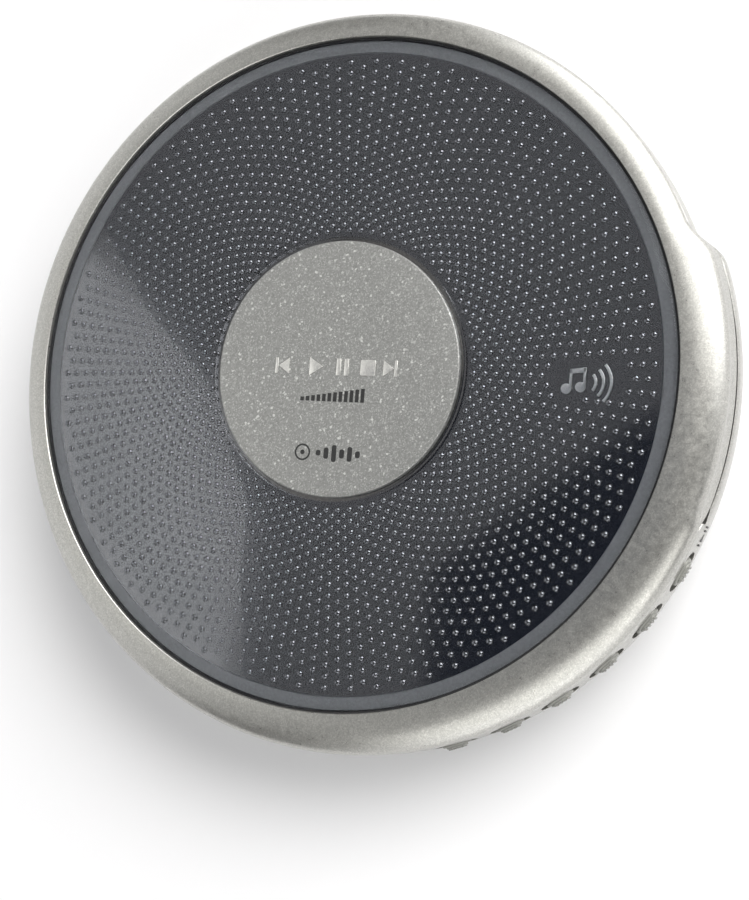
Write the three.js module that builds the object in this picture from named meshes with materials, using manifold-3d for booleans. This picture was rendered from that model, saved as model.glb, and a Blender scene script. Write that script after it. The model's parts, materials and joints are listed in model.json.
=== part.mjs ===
// Portable CD player: a round case, a hinged lid with a window, the disc drive, keys and cells.
// Millimetres, +Z up. The player lies on its feet with the lid up and closed.
// Everything is drawn about the disc axis; the last group moves the whole player so that the
// origin is at the bottom centre of its bounding box.
import * as THREE from 'three';
import { mergeVertices } from 'three/addons/utils/BufferGeometryUtils.js';
import Module from 'manifold-3d';

const wasm = await Module();
wasm.setup();

// ---- Driving dimensions -------------------------------------------------------------------

const DEG = Math.PI / 180;
const SEGMENTS = 48;            // facets round the large circles
const GAP = 0.3;                // running and fitting gap

// Outline, seen from above: a circle about the disc axis, and a bulge circle on the key side.
const LID_R = 65.3;
const BULGE_R = 66.95;
const BULGE_X = 1.83;
const BULGE_Y = -0.67;
const BULGE_END = 18;           // degrees, where the bulge starts to step in
const ROUND_START = 24;         // degrees, where the round outline is reached
const FLARE = 0.5;              // the case stands out past the lid by this much

// Heights above the surface the player stands on.
const FOOT_H = 0.9;
const FLOOR_TOP = 2.4;
const BOARD_Z = 4.2;
const BOARD_T = 1.0;
const CHASSIS_Z = 9.9;
const CHASSIS_T = 1.2;
const TRAY_Z = 11.4;
const TRAY_TOP = 12.6;
const DISC_SEAT = 14.0;
const FLANGE_Z = 15.4;
const FLANGE_TOP = 16.5;
const LINER_Z = 17.2;
const LINER_TOP = 18.0;
const WINDOW_Z = 19.2;
const LID_TOP = 21.0;
const SKIRT_Z = 16.9;           // lower edge of the lid all round
const HINGE_SKIRT_Z = 14.3;     // lower edge of the lid outside the hinge axis

// Lid and window radii.
const WINDOW_R = 60.1;
const RIM_IN_R = 60.5;
const LEDGE_R = 57.5;
const BADGE_R = 23.0;
const SKIRT_T = 1.3;
const WELL_R = 60.9;
const WELL_WALL = 1.0;

// Hinge of the lid, parallel to Y on the key side.
const HINGE_X = 64.6;
const HINGE_Z = 15.6;
const KNUCKLE_R = 1.5;
const PIN_R = 0.7;
const HINGE_HALF = 23.0;        // half the length of the space that the skirt turns in

// Disc drive.
const LENS_REST_R = 24.0;
const LENS_R = 2.0;
const HOLDER_R = 3.0;
const ROD_X = 13.0;
const ROD_Z = 7.2;
const ROD_R = 1.0;
const ROD_END = -62.6;
const ROD_START = -12.0;
const MOTOR_R = 10.5;
const SCREW_X = 18.6;
const SCREW_Z = 6.2;
const SCREW_R = 1.1;
const GEAR_MODULE = 0.3;
const GEAR_TEETH = 20;
const PINION_TEETH = 8;
const PINION_X = SCREW_X + GEAR_MODULE * (GEAR_TEETH + PINION_TEETH) / 2;
const GEAR_Y = -14.4;

// Keys on the side band.
const KEY_ANGLES = [-26.7, -35.0, -43.2, -51.5, -59.8, -68.3];
const KEY_Z = 13.1;
const KEY_HOLE_W = 7.6;
const KEY_HOLE_H = 3.9;
const KEY_W = 5.3;
const KEY_H = 3.4;
const KEY_CAP_W = 4.0;

// Slides, sockets, cells, feet and screws.
const OPEN_ANGLE = 180;
const HOLD_ANGLE = 207;
const SLIDE_Z = 10.2;
const HOOK_Z = 11.9;            // lower end of the lid's hook
const JACKS = [
  { name: 'headphone_socket', angle: 226, bore: 1.8, collar: 3.0 },
  { name: 'line_socket', angle: 97, bore: 1.8, collar: 2.6 },
  { name: 'power_socket', angle: 82, bore: 2.4, collar: 3.0 },
];
const JACK_Z = 8.0;
const CELL = { length: 67, width: 17, height: 6 };
const CELL_ROWS = [22.5, 40.5];
const BAY = { x: 37.0, y0: 13.0, y1: 50.0 };
const FEET = [[48, 26], [-48, 26], [40, -36], [-40, -36]];
const SCREWS = [[52, -6], [-52, -6], [26, -50], [-26, -50], [0, 56]];

// ---- Solids -------------------------------------------------------------------------------

/** A closed three.js geometry as a manifold solid. */
function solid(geometry) {
  const bare = geometry.clone();
  bare.deleteAttribute('normal');
  bare.deleteAttribute('uv');
  const merged = mergeVertices(bare, 1e-4);
  const corners = merged.index.array;
  const triangles = [];
  for (let i = 0; i < corners.length; i += 3) {
    const [a, b, c] = [corners[i], corners[i + 1], corners[i + 2]];
    if (a !== b && b !== c && c !== a) {
      triangles.push(a, b, c);
    }
  }
  return new wasm.Manifold(new wasm.Mesh({
    numProp: 3,
    vertProperties: Float32Array.from(merged.attributes.position.array),
    triVerts: Uint32Array.from(triangles),
  }));
}

/** A manifold solid as a three.js geometry. */
function geometryOf(manifold) {
  const mesh = manifold.getMesh();
  const geometry = new THREE.BufferGeometry();
  geometry.setAttribute('position', new THREE.BufferAttribute(mesh.vertProperties, 3));
  geometry.setIndex(new THREE.BufferAttribute(mesh.triVerts, 1));
  return geometry;
}

function join(...solids) {
  return solids.reduce((whole, piece) => whole.add(piece));
}

function cut(whole, ...tools) {
  return tools.reduce((rest, tool) => rest.subtract(tool), whole);
}

function box(x0, x1, y0, y1, z0, z1) {
  const geometry = new THREE.BoxGeometry(x1 - x0, y1 - y0, z1 - z0);
  geometry.translate((x0 + x1) / 2, (y0 + y1) / 2, (z0 + z1) / 2);
  return solid(geometry);
}

/** An upright cylinder at (x, y) from z0 to z1. */
function post(x, y, radius, z0, z1, segments = 24) {
  const geometry = new THREE.CylinderGeometry(radius, radius, z1 - z0, segments);
  geometry.rotateX(Math.PI / 2);
  geometry.translate(x, y, (z0 + z1) / 2);
  return solid(geometry);
}

/** A cylinder along Y at (x, z) from y0 to y1. */
function rod(x, z, radius, y0, y1, segments = 16) {
  const geometry = new THREE.CylinderGeometry(radius, radius, y1 - y0, segments);
  geometry.translate(x, (y0 + y1) / 2, z);
  return solid(geometry);
}

/** A flat plate with the outline of a shape, from z0 to z1. */
function plate(shape, z0, z1) {
  const geometry = new THREE.ExtrudeGeometry(shape, {
    depth: z1 - z0, bevelEnabled: false, curveSegments: 8,
  });
  geometry.translate(0, 0, z0);
  return solid(geometry);
}

function polygon(points) {
  return new THREE.Shape(points.map(([x, y]) => new THREE.Vector2(x, y)));
}

/** A round-ended slot shape, width along X and height along Y. */
function stadium(width, height) {
  const shape = new THREE.Shape();
  const radius = height / 2;
  const reach = width / 2 - radius;
  shape.absarc(reach, 0, radius, -Math.PI / 2, Math.PI / 2, false);
  shape.absarc(-reach, 0, radius, Math.PI / 2, Math.PI * 1.5, false);
  return shape;
}

/** A solid of revolution about Z from [r, z] points that start and end on the axis or close. */
function turned(profile, segments = SEGMENTS) {
  return around(() => profile, circleAngles(segments));
}

function circleAngles(segments) {
  return Array.from({ length: segments + 1 }, (_, i) => i * 360 / segments);
}

/** A ring whose [r, z] profile changes with the angle in degrees. */
function around(profileAt, angles) {
  const count = profileAt(angles[0]).length;
  const nominal = profileAt(angles[0]).map(([r, z]) => new THREE.Vector2(r, z));
  const geometry = new THREE.LatheGeometry(nominal, angles.length - 1);
  const position = geometry.attributes.position;
  angles.forEach((angle, i) => {
    const turn = (i === angles.length - 1 ? angles[0] : angle) * DEG;
    profileAt(angle).forEach(([r, z], j) => {
      position.setXYZ(i * count + j, r * Math.cos(turn), r * Math.sin(turn), z);
    });
  });
  if (signedVolume(geometry) < 0) {
    flip(geometry);
  }
  return solid(geometry);
}

function signedVolume(geometry) {
  const [a, b, c] = [new THREE.Vector3(), new THREE.Vector3(), new THREE.Vector3()];
  const { index, attributes: { position } } = geometry;
  let total = 0;
  for (let i = 0; i < index.count; i += 3) {
    a.fromBufferAttribute(position, index.getX(i));
    b.fromBufferAttribute(position, index.getX(i + 1));
    c.fromBufferAttribute(position, index.getX(i + 2));
    total += a.dot(b.cross(c)) / 6;
  }
  return total;
}

function flip(geometry) {
  const { index } = geometry;
  for (let i = 0; i < index.count; i += 3) {
    const first = index.getX(i);
    index.setX(i, index.getX(i + 1));
    index.setX(i + 1, first);
  }
}

/** A shape in the side wall: X along the wall, Y up, extruded outwards from r0 to r1. */
function inWall(shape, angle, z, r0, r1) {
  const geometry = new THREE.ExtrudeGeometry(shape, {
    depth: r1 - r0, bevelEnabled: false, curveSegments: 5,
  });
  const [c, s] = [Math.cos(angle * DEG), Math.sin(angle * DEG)];
  const along = new THREE.Vector3(-s, c, 0);
  const outward = new THREE.Vector3(c, s, 0);
  const matrix = new THREE.Matrix4().makeBasis(along, new THREE.Vector3(0, 0, 1), outward);
  matrix.setPosition(outward.x * r0, outward.y * r0, z);
  geometry.applyMatrix4(matrix);
  return solid(geometry);
}

function rectangle(x0, x1, y0, y1) {
  return polygon([[x0, y0], [x1, y0], [x1, y1], [x0, y1]]);
}

function circle(radius) {
  return new THREE.Shape().absarc(0, 0, radius, 0, Math.PI * 2, false);
}

/** A round wire of the given radius along a curve. */
function wire(curve, radius, steps) {
  return solid(new THREE.ExtrudeGeometry(
    new THREE.Shape().absarc(0, 0, radius, 0, Math.PI * 2, false),
    { extrudePath: curve, steps, curveSegments: 3, bevelEnabled: false },
  ));
}

// ---- Outline of the player ----------------------------------------------------------------

function smoothStep(from, to, value) {
  const t = THREE.MathUtils.clamp((value - from) / (to - from), 0, 1);
  return t * t * (3 - 2 * t);
}

/** The lid's outer radius from the disc axis at an angle in degrees. */
function outline(angle) {
  const turn = THREE.MathUtils.euclideanModulo(angle - ROUND_START, 360) + ROUND_START;
  if (turn < 180) {
    return LID_R;
  }
  const towards = BULGE_X * Math.cos(angle * DEG) + BULGE_Y * Math.sin(angle * DEG);
  const offset = BULGE_X ** 2 + BULGE_Y ** 2;
  const bulge = towards + Math.sqrt(BULGE_R ** 2 - offset + towards ** 2);
  const step = smoothStep(360 + BULGE_END, 360 + ROUND_START, turn);
  return Math.max(LID_R, bulge + (LID_R - bulge) * step);
}

/** 1 where the lid's skirt hangs lower outside the hinge axis, 0 elsewhere. */
function hingeZone(angle) {
  const turn = THREE.MathUtils.euclideanModulo(angle + 180, 360) - 180;
  return smoothStep(-21, -17, turn) * (1 - smoothStep(18, 23, turn));
}

function skirtZ(angle) {
  return SKIRT_Z - (SKIRT_Z - HINGE_SKIRT_Z) * hingeZone(angle);
}

const OUTLINE_ANGLES = [
  ...circleAngles(SEGMENTS), 18, 21, 23, 24, 339, 341, 343,
].sort((a, b) => a - b).filter((angle, i, all) => angle !== all[i - 1]);

// ---- The player as a group of named pieces ------------------------------------------------

const player = new THREE.Group();

const FINISH = {
  silver: [0xa9a7a1, 0.35, 0.7],
  smoked: [0x23262b, 0.08, 0.0],
  pattern: [0x2c2f35, 0.35, 0.2],
  keys: [0x8c8c84, 0.5, 0.1],
  white_plastic: [0xc9c9c4, 0.5, 0.0],
  dark_plastic: [0x2a2b2e, 0.5, 0.0],
  steel: [0xb4b6b8, 0.3, 0.9],
  brass: [0xb79a5c, 0.35, 0.9],
  board: [0x27613f, 0.6, 0.0],
  chip: [0x17181a, 0.5, 0.0],
  rubber: [0x1e1f20, 0.85, 0.0],
  cell: [0x6e8f9f, 0.35, 0.3],
  lens: [0x8fa6d6, 0.05, 0.0],
};

function add(name, piece, finish) {
  const [color, roughness, metalness] = FINISH[finish];
  const material = new THREE.MeshStandardMaterial({ color, roughness, metalness });
  const mesh = new THREE.Mesh(geometryOf(piece), material);
  mesh.name = name;
  player.add(mesh);
}

// ---- Case ---------------------------------------------------------------------------------

function makeCase() {
  const shell = around((angle) => {
    const r = outline(angle);
    const top = skirtZ(angle) - GAP;
    return [
      [0, FOOT_H], [r - 6.5, FOOT_H], [r - 3.0, 1.7], [r - 0.9, 4.2], [r + 0.2, 7.5],
      [r + FLARE, 10.5], [r + 0.35, 13], [r, top],
      [r - 1.5, top], [r - 1.2, 10.5], [r - 2.6, 5.0], [r - 6.5, FLOOR_TOP], [0, FLOOR_TOP],
    ];
  }, OUTLINE_ANGLES);
  const openings = [
    box(-BAY.x, BAY.x, BAY.y0, BAY.y1, 0, FLOOR_TOP + 1),
    hingeRecess(),
    ...SCREWS.map(([x, y]) => post(x, y, 2.3, 0, 1.6)),
    ...SCREWS.map(([x, y]) => post(x, y, 1.2, 1, 4)),
    ...KEY_ANGLES.map((angle) => inWall(stadium(KEY_HOLE_W, KEY_HOLE_H), angle, KEY_Z, 62, 72)),
    ...JACKS.map(({ angle, collar }) => inWall(circle(collar + GAP), angle, JACK_Z, 60, 70)),
    ...slideOpenings(OPEN_ANGLE, 4.6, 3.0),
    ...slideOpenings(HOLD_ANGLE, 3.0, 2.0),
  ];
  add('case_shell', cut(shell, ...openings), 'silver');
}

/** The space round the hinge axis that the lid's skirt turns through. */
function hingeRecess() {
  const profile = [new THREE.Vector2(0, -HINGE_HALF)];
  for (let i = 0; i <= 10; i += 1) {
    const y = HINGE_HALF * (i / 5 - 1);
    const edge = BULGE_X + Math.sqrt(BULGE_R ** 2 - (y - BULGE_Y) ** 2);
    const sweep = Math.hypot(Math.max(edge - HINGE_X, 0), HINGE_Z - HINGE_SKIRT_Z);
    profile.push(new THREE.Vector2(sweep + 0.22, y));
  }
  profile.push(new THREE.Vector2(0, HINGE_HALF));
  const turning = new THREE.LatheGeometry(profile, 32);
  turning.translate(HINGE_X, 0, HINGE_Z);
  if (signedVolume(turning) < 0) {
    flip(turning);
  }
  return solid(turning).intersect(box(HINGE_X - KNUCKLE_R - 0.2, 72, -HINGE_HALF, HINGE_HALF, 0, 30));
}

/** Pocket and slot in the wall for a knob of this half length that slides to one side. */
function slideOpenings(angle, halfLength, travel) {
  const face = outline(angle);
  return [
    inWall(rectangle(-halfLength - GAP, halfLength + travel + GAP, -1.7, 1.7),
      angle, SLIDE_Z, face - 0.45, face + 3),
    inWall(rectangle(-2.1, 2.1 + travel, -1.0, 1.0), angle, SLIDE_Z, face - 6, face + 3),
  ];
}

/** A knob in its pocket, a stem through the slot and a plate inside the wall. */
function slideKnob(angle, halfLength) {
  const face = outline(angle);
  const knob = inWall(rectangle(-halfLength, halfLength, -1.4, 1.4), angle, SLIDE_Z,
    face - 0.3, face + 1);
  const stem = inWall(rectangle(-1.8, 1.8, -0.7, 0.7), angle, SLIDE_Z, face - 2.2, face);
  const inner = inWall(rectangle(-2.8, 2.8, -1.3, 1.3), angle, SLIDE_Z, face - 2.6, face - 2.0);
  const limit = turned([[0, 0], [face + 0.42, 0], [face + 0.42, 20], [0, 20]], 144);
  return join(knob.intersect(limit), stem, inner);
}

function makeSlides() {
  const catchFinger = inWall(rectangle(GAP, 2.4, 0, 3.4), OPEN_ANGLE, SLIDE_Z,
    LID_R - 2.6, LID_R - 2.0);
  add('open_slider', join(slideKnob(OPEN_ANGLE, 4.6), catchFinger), 'keys');
  add('hold_switch', slideKnob(HOLD_ANGLE, 3.0), 'keys');
}

function makeFeetAndScrews() {
  FEET.forEach(([x, y], i) => {
    const profile = [[0, 0], [2.4, 0], [3, 0.4], [3, FOOT_H], [0, FOOT_H]];
    add(`foot_${i + 1}`, turned(profile, 20).translate([x, y, 0]), 'rubber');
  });
  SCREWS.forEach(([x, y], i) => {
    const head = post(x, y, 2.0, 0.95, 1.6, 20);
    const shank = post(x, y, 0.85, 1.6, 8.0, 12);
    const slots = join(box(x - 1.1, x + 1.1, y - 0.25, y + 0.25, 0, 1.3),
      box(x - 0.25, x + 0.25, y - 1.1, y + 1.1, 0, 1.3));
    add(`case_screw_${i + 1}`, cut(join(head, shank), slots), 'steel');
  });
}

// ---- Disc tray and hinge ------------------------------------------------------------------

function makeTray() {
  const body = around((angle) => {
    const edge = outline(angle) - 1.8;
    return [
      [0, TRAY_Z], [WELL_R + WELL_WALL, TRAY_Z], [WELL_R + WELL_WALL, FLANGE_Z],
      [edge, FLANGE_Z], [edge, FLANGE_TOP],
      [WELL_R, FLANGE_TOP], [WELL_R, TRAY_TOP], [0, TRAY_TOP],
    ];
  }, OUTLINE_ANGLES);
  const edge = HINGE_X + 2.6;
  const insideCase = around((angle) => [
    [0, 0], [outline(angle) - 1.9, 0], [outline(angle) - 1.9, 30], [0, 30],
  ], OUTLINE_ANGLES);
  const trough = cut(
    box(WELL_R + 0.6, edge, -HINGE_HALF + 1, HINGE_HALF - 1, 10.2, FLANGE_Z + 0.2)
      .intersect(insideCase),
    post(0, 0, WELL_R + 0.5, 0, 30, SEGMENTS),
  );
  const ears = [-1, 1].map((side) => {
    const [y0, y1] = side > 0 ? [4, 8] : [-8, -4];
    return join(
      rod(HINGE_X, HINGE_Z, KNUCKLE_R, y0, y1),
      box(62.6, HINGE_X, y0, y1, HINGE_Z - KNUCKLE_R, HINGE_Z + 0.9),
    );
  });
  const bosses = SCREWS.map(([x, y]) => post(x, y, 2.2, FLOOR_TOP, TRAY_Z + 0.2, 16));
  const driveOpening = join(
    box(-17, 17, -54, 16, TRAY_Z - 1, TRAY_TOP + 1),
    box(-4.2, 4.2, -60.3, -53, TRAY_Z - 1, TRAY_TOP + 1),
  );
  const whole = join(cut(join(body, trough), hingeRecess()), ...ears, ...bosses);
  add('disc_tray', cut(
    whole,
    driveOpening,
    rod(HINGE_X, HINGE_Z, PIN_R + 0.1, -20, 20, 12),
    box(-64.6, -62.15, -0.4, 2.4, FLANGE_Z - 1, FLANGE_TOP + 1),
    lidSwitchHole(),
    ...SCREWS.map(([x, y]) => post(x, y, 1.0, 0, 9, 12)),
  ), 'dark_plastic');
}

const LID_SWITCH = [-54.6, 31.5];

function lidSwitchHole() {
  return post(...LID_SWITCH, 0.75, 0, 30, 12);
}

function makeHingeParts() {
  add('hinge_pin', rod(HINGE_X, HINGE_Z, PIN_R, -12.4, 12.4, 12), 'steel');
  const turns = 5;
  class Coil extends THREE.Curve {
    getPoint(t, target = new THREE.Vector3()) {
      const turn = t * turns * Math.PI * 2;
      return target.set(
        HINGE_X + 1.15 * Math.cos(turn), -3.2 + 6.4 * t, HINGE_Z + 1.15 * Math.sin(turn));
    }
  }
  add('lid_spring', wire(new Coil(), 0.2, turns * 9), 'steel');
  const plunger = join(
    post(...LID_SWITCH, 0.6, 11.8, LINER_Z - GAP, 12),
    post(...LID_SWITCH, 1.0, 10.2, 11.0, 12),
    post(...LID_SWITCH, 0.6, 10.6, 12, 12),
  );
  add('lid_switch', plunger, 'white_plastic');
}

// ---- Lid ----------------------------------------------------------------------------------

function rimProfile(angle) {
  const r = outline(angle);
  const width = r - RIM_IN_R;
  const drop = 0.47 * width;
  const arc = [0, 22, 44, 66, 90].map((step) => [
    RIM_IN_R + width * Math.sin(step * DEG),
    LID_TOP - drop * (1 - Math.cos(step * DEG)),
  ]);
  return [
    ...arc,
    [r, skirtZ(angle)], [r - SKIRT_T, skirtZ(angle)], [r - SKIRT_T, LINER_TOP],
    [LEDGE_R, LINER_TOP], [LEDGE_R, WINDOW_Z], [RIM_IN_R, WINDOW_Z], [RIM_IN_R, LID_TOP],
  ];
}

function makeLid() {
  add('lid_rim', around(rimProfile, OUTLINE_ANGLES), 'silver');
  add('lid_window', turned([
    [0, WINDOW_Z], [WINDOW_R, WINDOW_Z], [WINDOW_R, LID_TOP - 0.3], [WINDOW_R - 0.4, LID_TOP],
    [BADGE_R + 0.4, LID_TOP], [BADGE_R + 0.4, LID_TOP - 1], [0, LID_TOP - 1],
  ]), 'smoked');
  add('dot_plate', turned([
    [0, LINER_TOP + 0.4], [LEDGE_R - GAP, LINER_TOP + 0.4], [LEDGE_R - GAP, WINDOW_Z],
    [0, WINDOW_Z],
  ]), 'pattern');
  add('centre_badge', turned([
    [0, LID_TOP - 1], [BADGE_R, LID_TOP - 1], [BADGE_R, LID_TOP - 0.3],
    [BADGE_R - 0.3, LID_TOP], [0, LID_TOP],
  ], 60), 'silver');
  add('lid_liner', makeLiner(), 'dark_plastic');
}

function makeLiner() {
  const panel = around((angle) => {
    const edge = outline(angle) - SKIRT_T - GAP;
    return [
      [0, LINER_Z], [edge, LINER_Z], [edge, LINER_TOP], [0, LINER_TOP],
    ];
  }, OUTLINE_ANGLES);
  const clampRing = turned([
    [9, LINER_Z - 0.2], [16, LINER_Z - 0.2], [16, LINER_Z + 0.2], [9, LINER_Z + 0.2],
    [9, LINER_Z - 0.2],
  ], 36);
  const hook = join(
    box(-63.2, -62.4, 0, 2, HOOK_Z, LINER_Z + 0.2),
    box(-63.6, -62.8, 0, 2, HOOK_Z, HOOK_Z + 0.9),
  );
  const knuckles = [-1, 1].map((side) => {
    const [y0, y1] = side > 0 ? [8.3, 12.3] : [-12.3, -8.3];
    return join(
      rod(HINGE_X, HINGE_Z, KNUCKLE_R, y0, y1),
      box(HINGE_X - KNUCKLE_R, HINGE_X + 1.1, y0, y1, HINGE_Z, LINER_Z + 0.2),
    );
  });
  return cut(
    join(panel, clampRing, hook, ...knuckles),
    rod(HINGE_X, HINGE_Z, PIN_R + 0.1, -20, 20, 12),
  );
}

// ---- Keys ---------------------------------------------------------------------------------

function makeKeys() {
  KEY_ANGLES.forEach((angle, i) => {
    const r = outline(angle);
    const inner = r - 2.8;
    const ribs = [-0.9, 0, 0.9].map((offset) => inWall(
      rectangle(offset - 0.25, offset + 0.25, -1.2, 1.2), angle, KEY_Z, r + 0.8, r + 1.1));
    add(`key_${i + 1}`, join(
      inWall(rectangle(-4.2, 4.2, -2.15, 2.15), angle, KEY_Z, inner, inner + 0.9),
      inWall(rectangle(-1, 1, -1, 1), angle, KEY_Z, 64.95, inner + 0.2),
      inWall(stadium(KEY_W, KEY_H), angle, KEY_Z, inner + 0.8, r + 0.3),
      inWall(stadium(KEY_CAP_W, KEY_H - 0.6), angle, KEY_Z, r, r + 0.85),
      ...ribs,
    ), 'keys');
  });
  const from = KEY_ANGLES[KEY_ANGLES.length - 1] - 3;
  const to = KEY_ANGLES[0] + 3;
  const strip = new THREE.Shape();
  strip.absarc(0, 0, 63.9, from * DEG, to * DEG, false);
  strip.absarc(0, 0, 63.3, to * DEG, from * DEG, true);
  const geometry = new THREE.ExtrudeGeometry(strip, {
    depth: 6.6, bevelEnabled: false, curveSegments: 12,
  });
  geometry.translate(0, 0, 8.6);
  const domes = KEY_ANGLES.map((angle) => (
    inWall(circle(1.4), angle, KEY_Z, 63.5, 64.15)));
  add('key_contact_strip', join(solid(geometry), ...domes), 'board');
}

// ---- Disc drive ---------------------------------------------------------------------------

function makeDrive() {
  const outlinePoints = [
    [-20, 17], [-20, -50], [-14.6, -58], [-14.6, ROD_END], [14.6, ROD_END], [14.6, -58],
    [20, -50], [20, 17],
  ];
  const slab = plate(polygon(outlinePoints), CHASSIS_Z, CHASSIS_Z + CHASSIS_T);
  const hangers = [-ROD_X, ROD_X].flatMap((x) => [
    box(x - 1.6, x + 1.6, ROD_END, ROD_END + 1.4, 5.6, CHASSIS_Z + 0.2),
    box(x - 1.6, x + 1.6, ROD_START - 1.4, ROD_START, 5.6, CHASSIS_Z + 0.2),
  ]);
  const screwHangers = [
    box(SCREW_X - 1.4, SCREW_X + 1.4, GEAR_Y - 2.0, GEAR_Y - 0.6, 4.6, CHASSIS_Z + 0.2),
    box(SCREW_X - 1.4, SCREW_X + 1.4, -53, -51.6, 4.6, CHASSIS_Z + 0.2)
      .intersect(box(0, 20, -60, 0, 0, 20)),
  ];
  const motorPlate = box(SCREW_X - 1, PINION_X + 3, -11.6, -10.6, 3.2, CHASSIS_Z + 0.2);
  const chassis = cut(
    join(slab, ...hangers, ...screwHangers, motorPlate),
    box(-6.5, 6.5, -60.8, -16.8, CHASSIS_Z - 1, TRAY_Z),
    post(0, 0, 3, CHASSIS_Z - 1, TRAY_Z),
    ...[-ROD_X, ROD_X].map((x) => rod(x, ROD_Z, ROD_R + 0.05, -70, 0)),
    rod(SCREW_X, SCREW_Z, SCREW_R - 0.2, -70, 0),
    rod(PINION_X, SCREW_Z, 0.6, -20, 0),
  );
  add('drive_chassis', chassis, 'steel');
  [-1, 1].forEach((side) => {
    add(side < 0 ? 'guide_rod_left' : 'guide_rod_right',
      rod(side * ROD_X, ROD_Z, ROD_R, ROD_END + 0.2, ROD_START - 0.2), 'steel');
  });
  [[-17.9, 9], [17.4, 9], [-17.9, -46]].forEach(([x, y], i) => {
    const damper = cut(post(x, y, 1.9, FLOOR_TOP, CHASSIS_Z - 0.05, 16),
      post(x, y, 0.9, FLOOR_TOP - 1, CHASSIS_Z + 1, 12));
    add(`rubber_damper_${i + 1}`, damper, 'rubber');
  });
}

function makeSpindle() {
  add('spindle_motor', turned([
    [1.1, 4.4], [MOTOR_R - 1, 4.4], [MOTOR_R, 5.4], [MOTOR_R, CHASSIS_Z - 0.05],
    [1.1, CHASSIS_Z - 0.05], [1.1, 4.4],
  ], 36), 'steel');
  add('spindle_shaft', post(0, 0, 0.75, 4.2, DISC_SEAT - 0.6, 16), 'steel');
  const hub = turned([
    [0.8, 12.9], [13.5, 12.9], [13.5, DISC_SEAT], [7.3, DISC_SEAT], [7.3, 15.6], [6.2, 16.4],
    [0, 16.4], [0, DISC_SEAT - 0.5], [0.8, DISC_SEAT - 0.5], [0.8, 12.9],
  ], 36);
  const claws = [0, 120, 240].map((angle) => inWall(
    rectangle(-1, 1, -0.4, 0.4), angle + 90, 15.2, 6.5, 7.7));
  add('turntable', join(hub, ...claws), 'dark_plastic');
}

function makePickup() {
  const lensY = -LENS_REST_R;
  const base = join(
    box(-15.5, 15.5, lensY - 3.6, lensY + 6.5, 5.2, 9.4),
    box(15, 17.1, lensY - 2, lensY + 2, 5.2, 7.2),
  );
  add('pickup_sled', cut(
    base,
    ...[-ROD_X, ROD_X].map((x) => rod(x, ROD_Z, ROD_R + 0.08, -40, 0)),
    post(0, lensY, 2.6, 6.4, 12, 16),
  ), 'dark_plastic');
  add('lens_holder', cut(
    join(
      post(0, lensY, HOLDER_R, 9.7, 12.1, 20),
      post(0, lensY, 2.2, 7.4, 9.9, 16),
    ),
    post(0, lensY, 1.2, 7, 13, 12),
    post(0, lensY, LENS_R, 11.5, 13, 20),
  ), 'dark_plastic');
  add('objective_lens', turned([
    [0, 11.5], [LENS_R - 0.05, 11.5], [LENS_R - 0.05, 11.8], [1.0, 12.15], [0, 12.25],
  ], 20).translate([0, lensY, 0]), 'lens');
}

/** A spur gear along Y, with plain tapered teeth, centred at (x, z). */
function gear(teeth, x, z, y0, y1, bore, phase) {
  const pitch = GEAR_MODULE * teeth / 2;
  const root = pitch - 1.3 * GEAR_MODULE;
  const tip = pitch + 0.85 * GEAR_MODULE;
  const shape = new THREE.Shape();
  const corners = [[-0.3, root], [-0.12, tip], [0.12, tip], [0.3, root]];
  for (let tooth = 0; tooth < teeth; tooth += 1) {
    corners.forEach(([share, radius], i) => {
      const angle = (tooth + share + phase) * 2 * Math.PI / teeth;
      const [px, py] = [radius * Math.cos(angle), radius * Math.sin(angle)];
      if (tooth + i === 0) {
        shape.moveTo(px, py);
      } else {
        shape.lineTo(px, py);
      }
    });
  }
  if (bore > 0) {
    shape.holes.push(new THREE.Path().absarc(0, 0, bore, 0, Math.PI * 2, true));
  }
  const geometry = new THREE.ExtrudeGeometry(shape, {
    depth: y1 - y0, bevelEnabled: false, curveSegments: 6,
  });
  geometry.rotateX(-Math.PI / 2);
  geometry.translate(x, y0, z);
  return solid(geometry);
}

function makeFeed() {
  const thread = join(
    rod(SCREW_X, SCREW_Z, SCREW_R, -51.3, GEAR_Y - 2.3, 12),
    rod(SCREW_X, SCREW_Z, SCREW_R - 0.35, -53, GEAR_Y + 0.6, 12),
  );
  add('lead_screw', thread, 'steel');
  add('screw_gear',
    gear(GEAR_TEETH, SCREW_X, SCREW_Z, GEAR_Y - 0.3, GEAR_Y + 0.9, SCREW_R - 0.3, 0),
    'white_plastic');
  add('motor_pinion',
    gear(PINION_TEETH, PINION_X, SCREW_Z, GEAR_Y - 0.3, GEAR_Y + 2.0, 0.35, 0.5), 'brass');
  add('feed_motor', join(
    rod(PINION_X, SCREW_Z, 3.0, -10.55, 1.5, 20),
    rod(PINION_X, SCREW_Z, 0.3, GEAR_Y - 0.2, -10, 8),
  ), 'steel');
}

// ---- Electronics and cells ----------------------------------------------------------------

function boardShape(side, endAngle) {
  const r = 60.3;
  const startAngle = Math.asin(11.5 / r);
  const shape = new THREE.Shape();
  shape.moveTo(side * 28, 11.5);
  for (let i = 0; i <= 12; i += 1) {
    const angle = startAngle + (endAngle * DEG - startAngle) * i / 12;
    shape.lineTo(side * r * Math.cos(angle), r * Math.sin(angle));
  }
  shape.lineTo(side * 28, r * Math.sin(endAngle * DEG));
  return shape;
}

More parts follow.
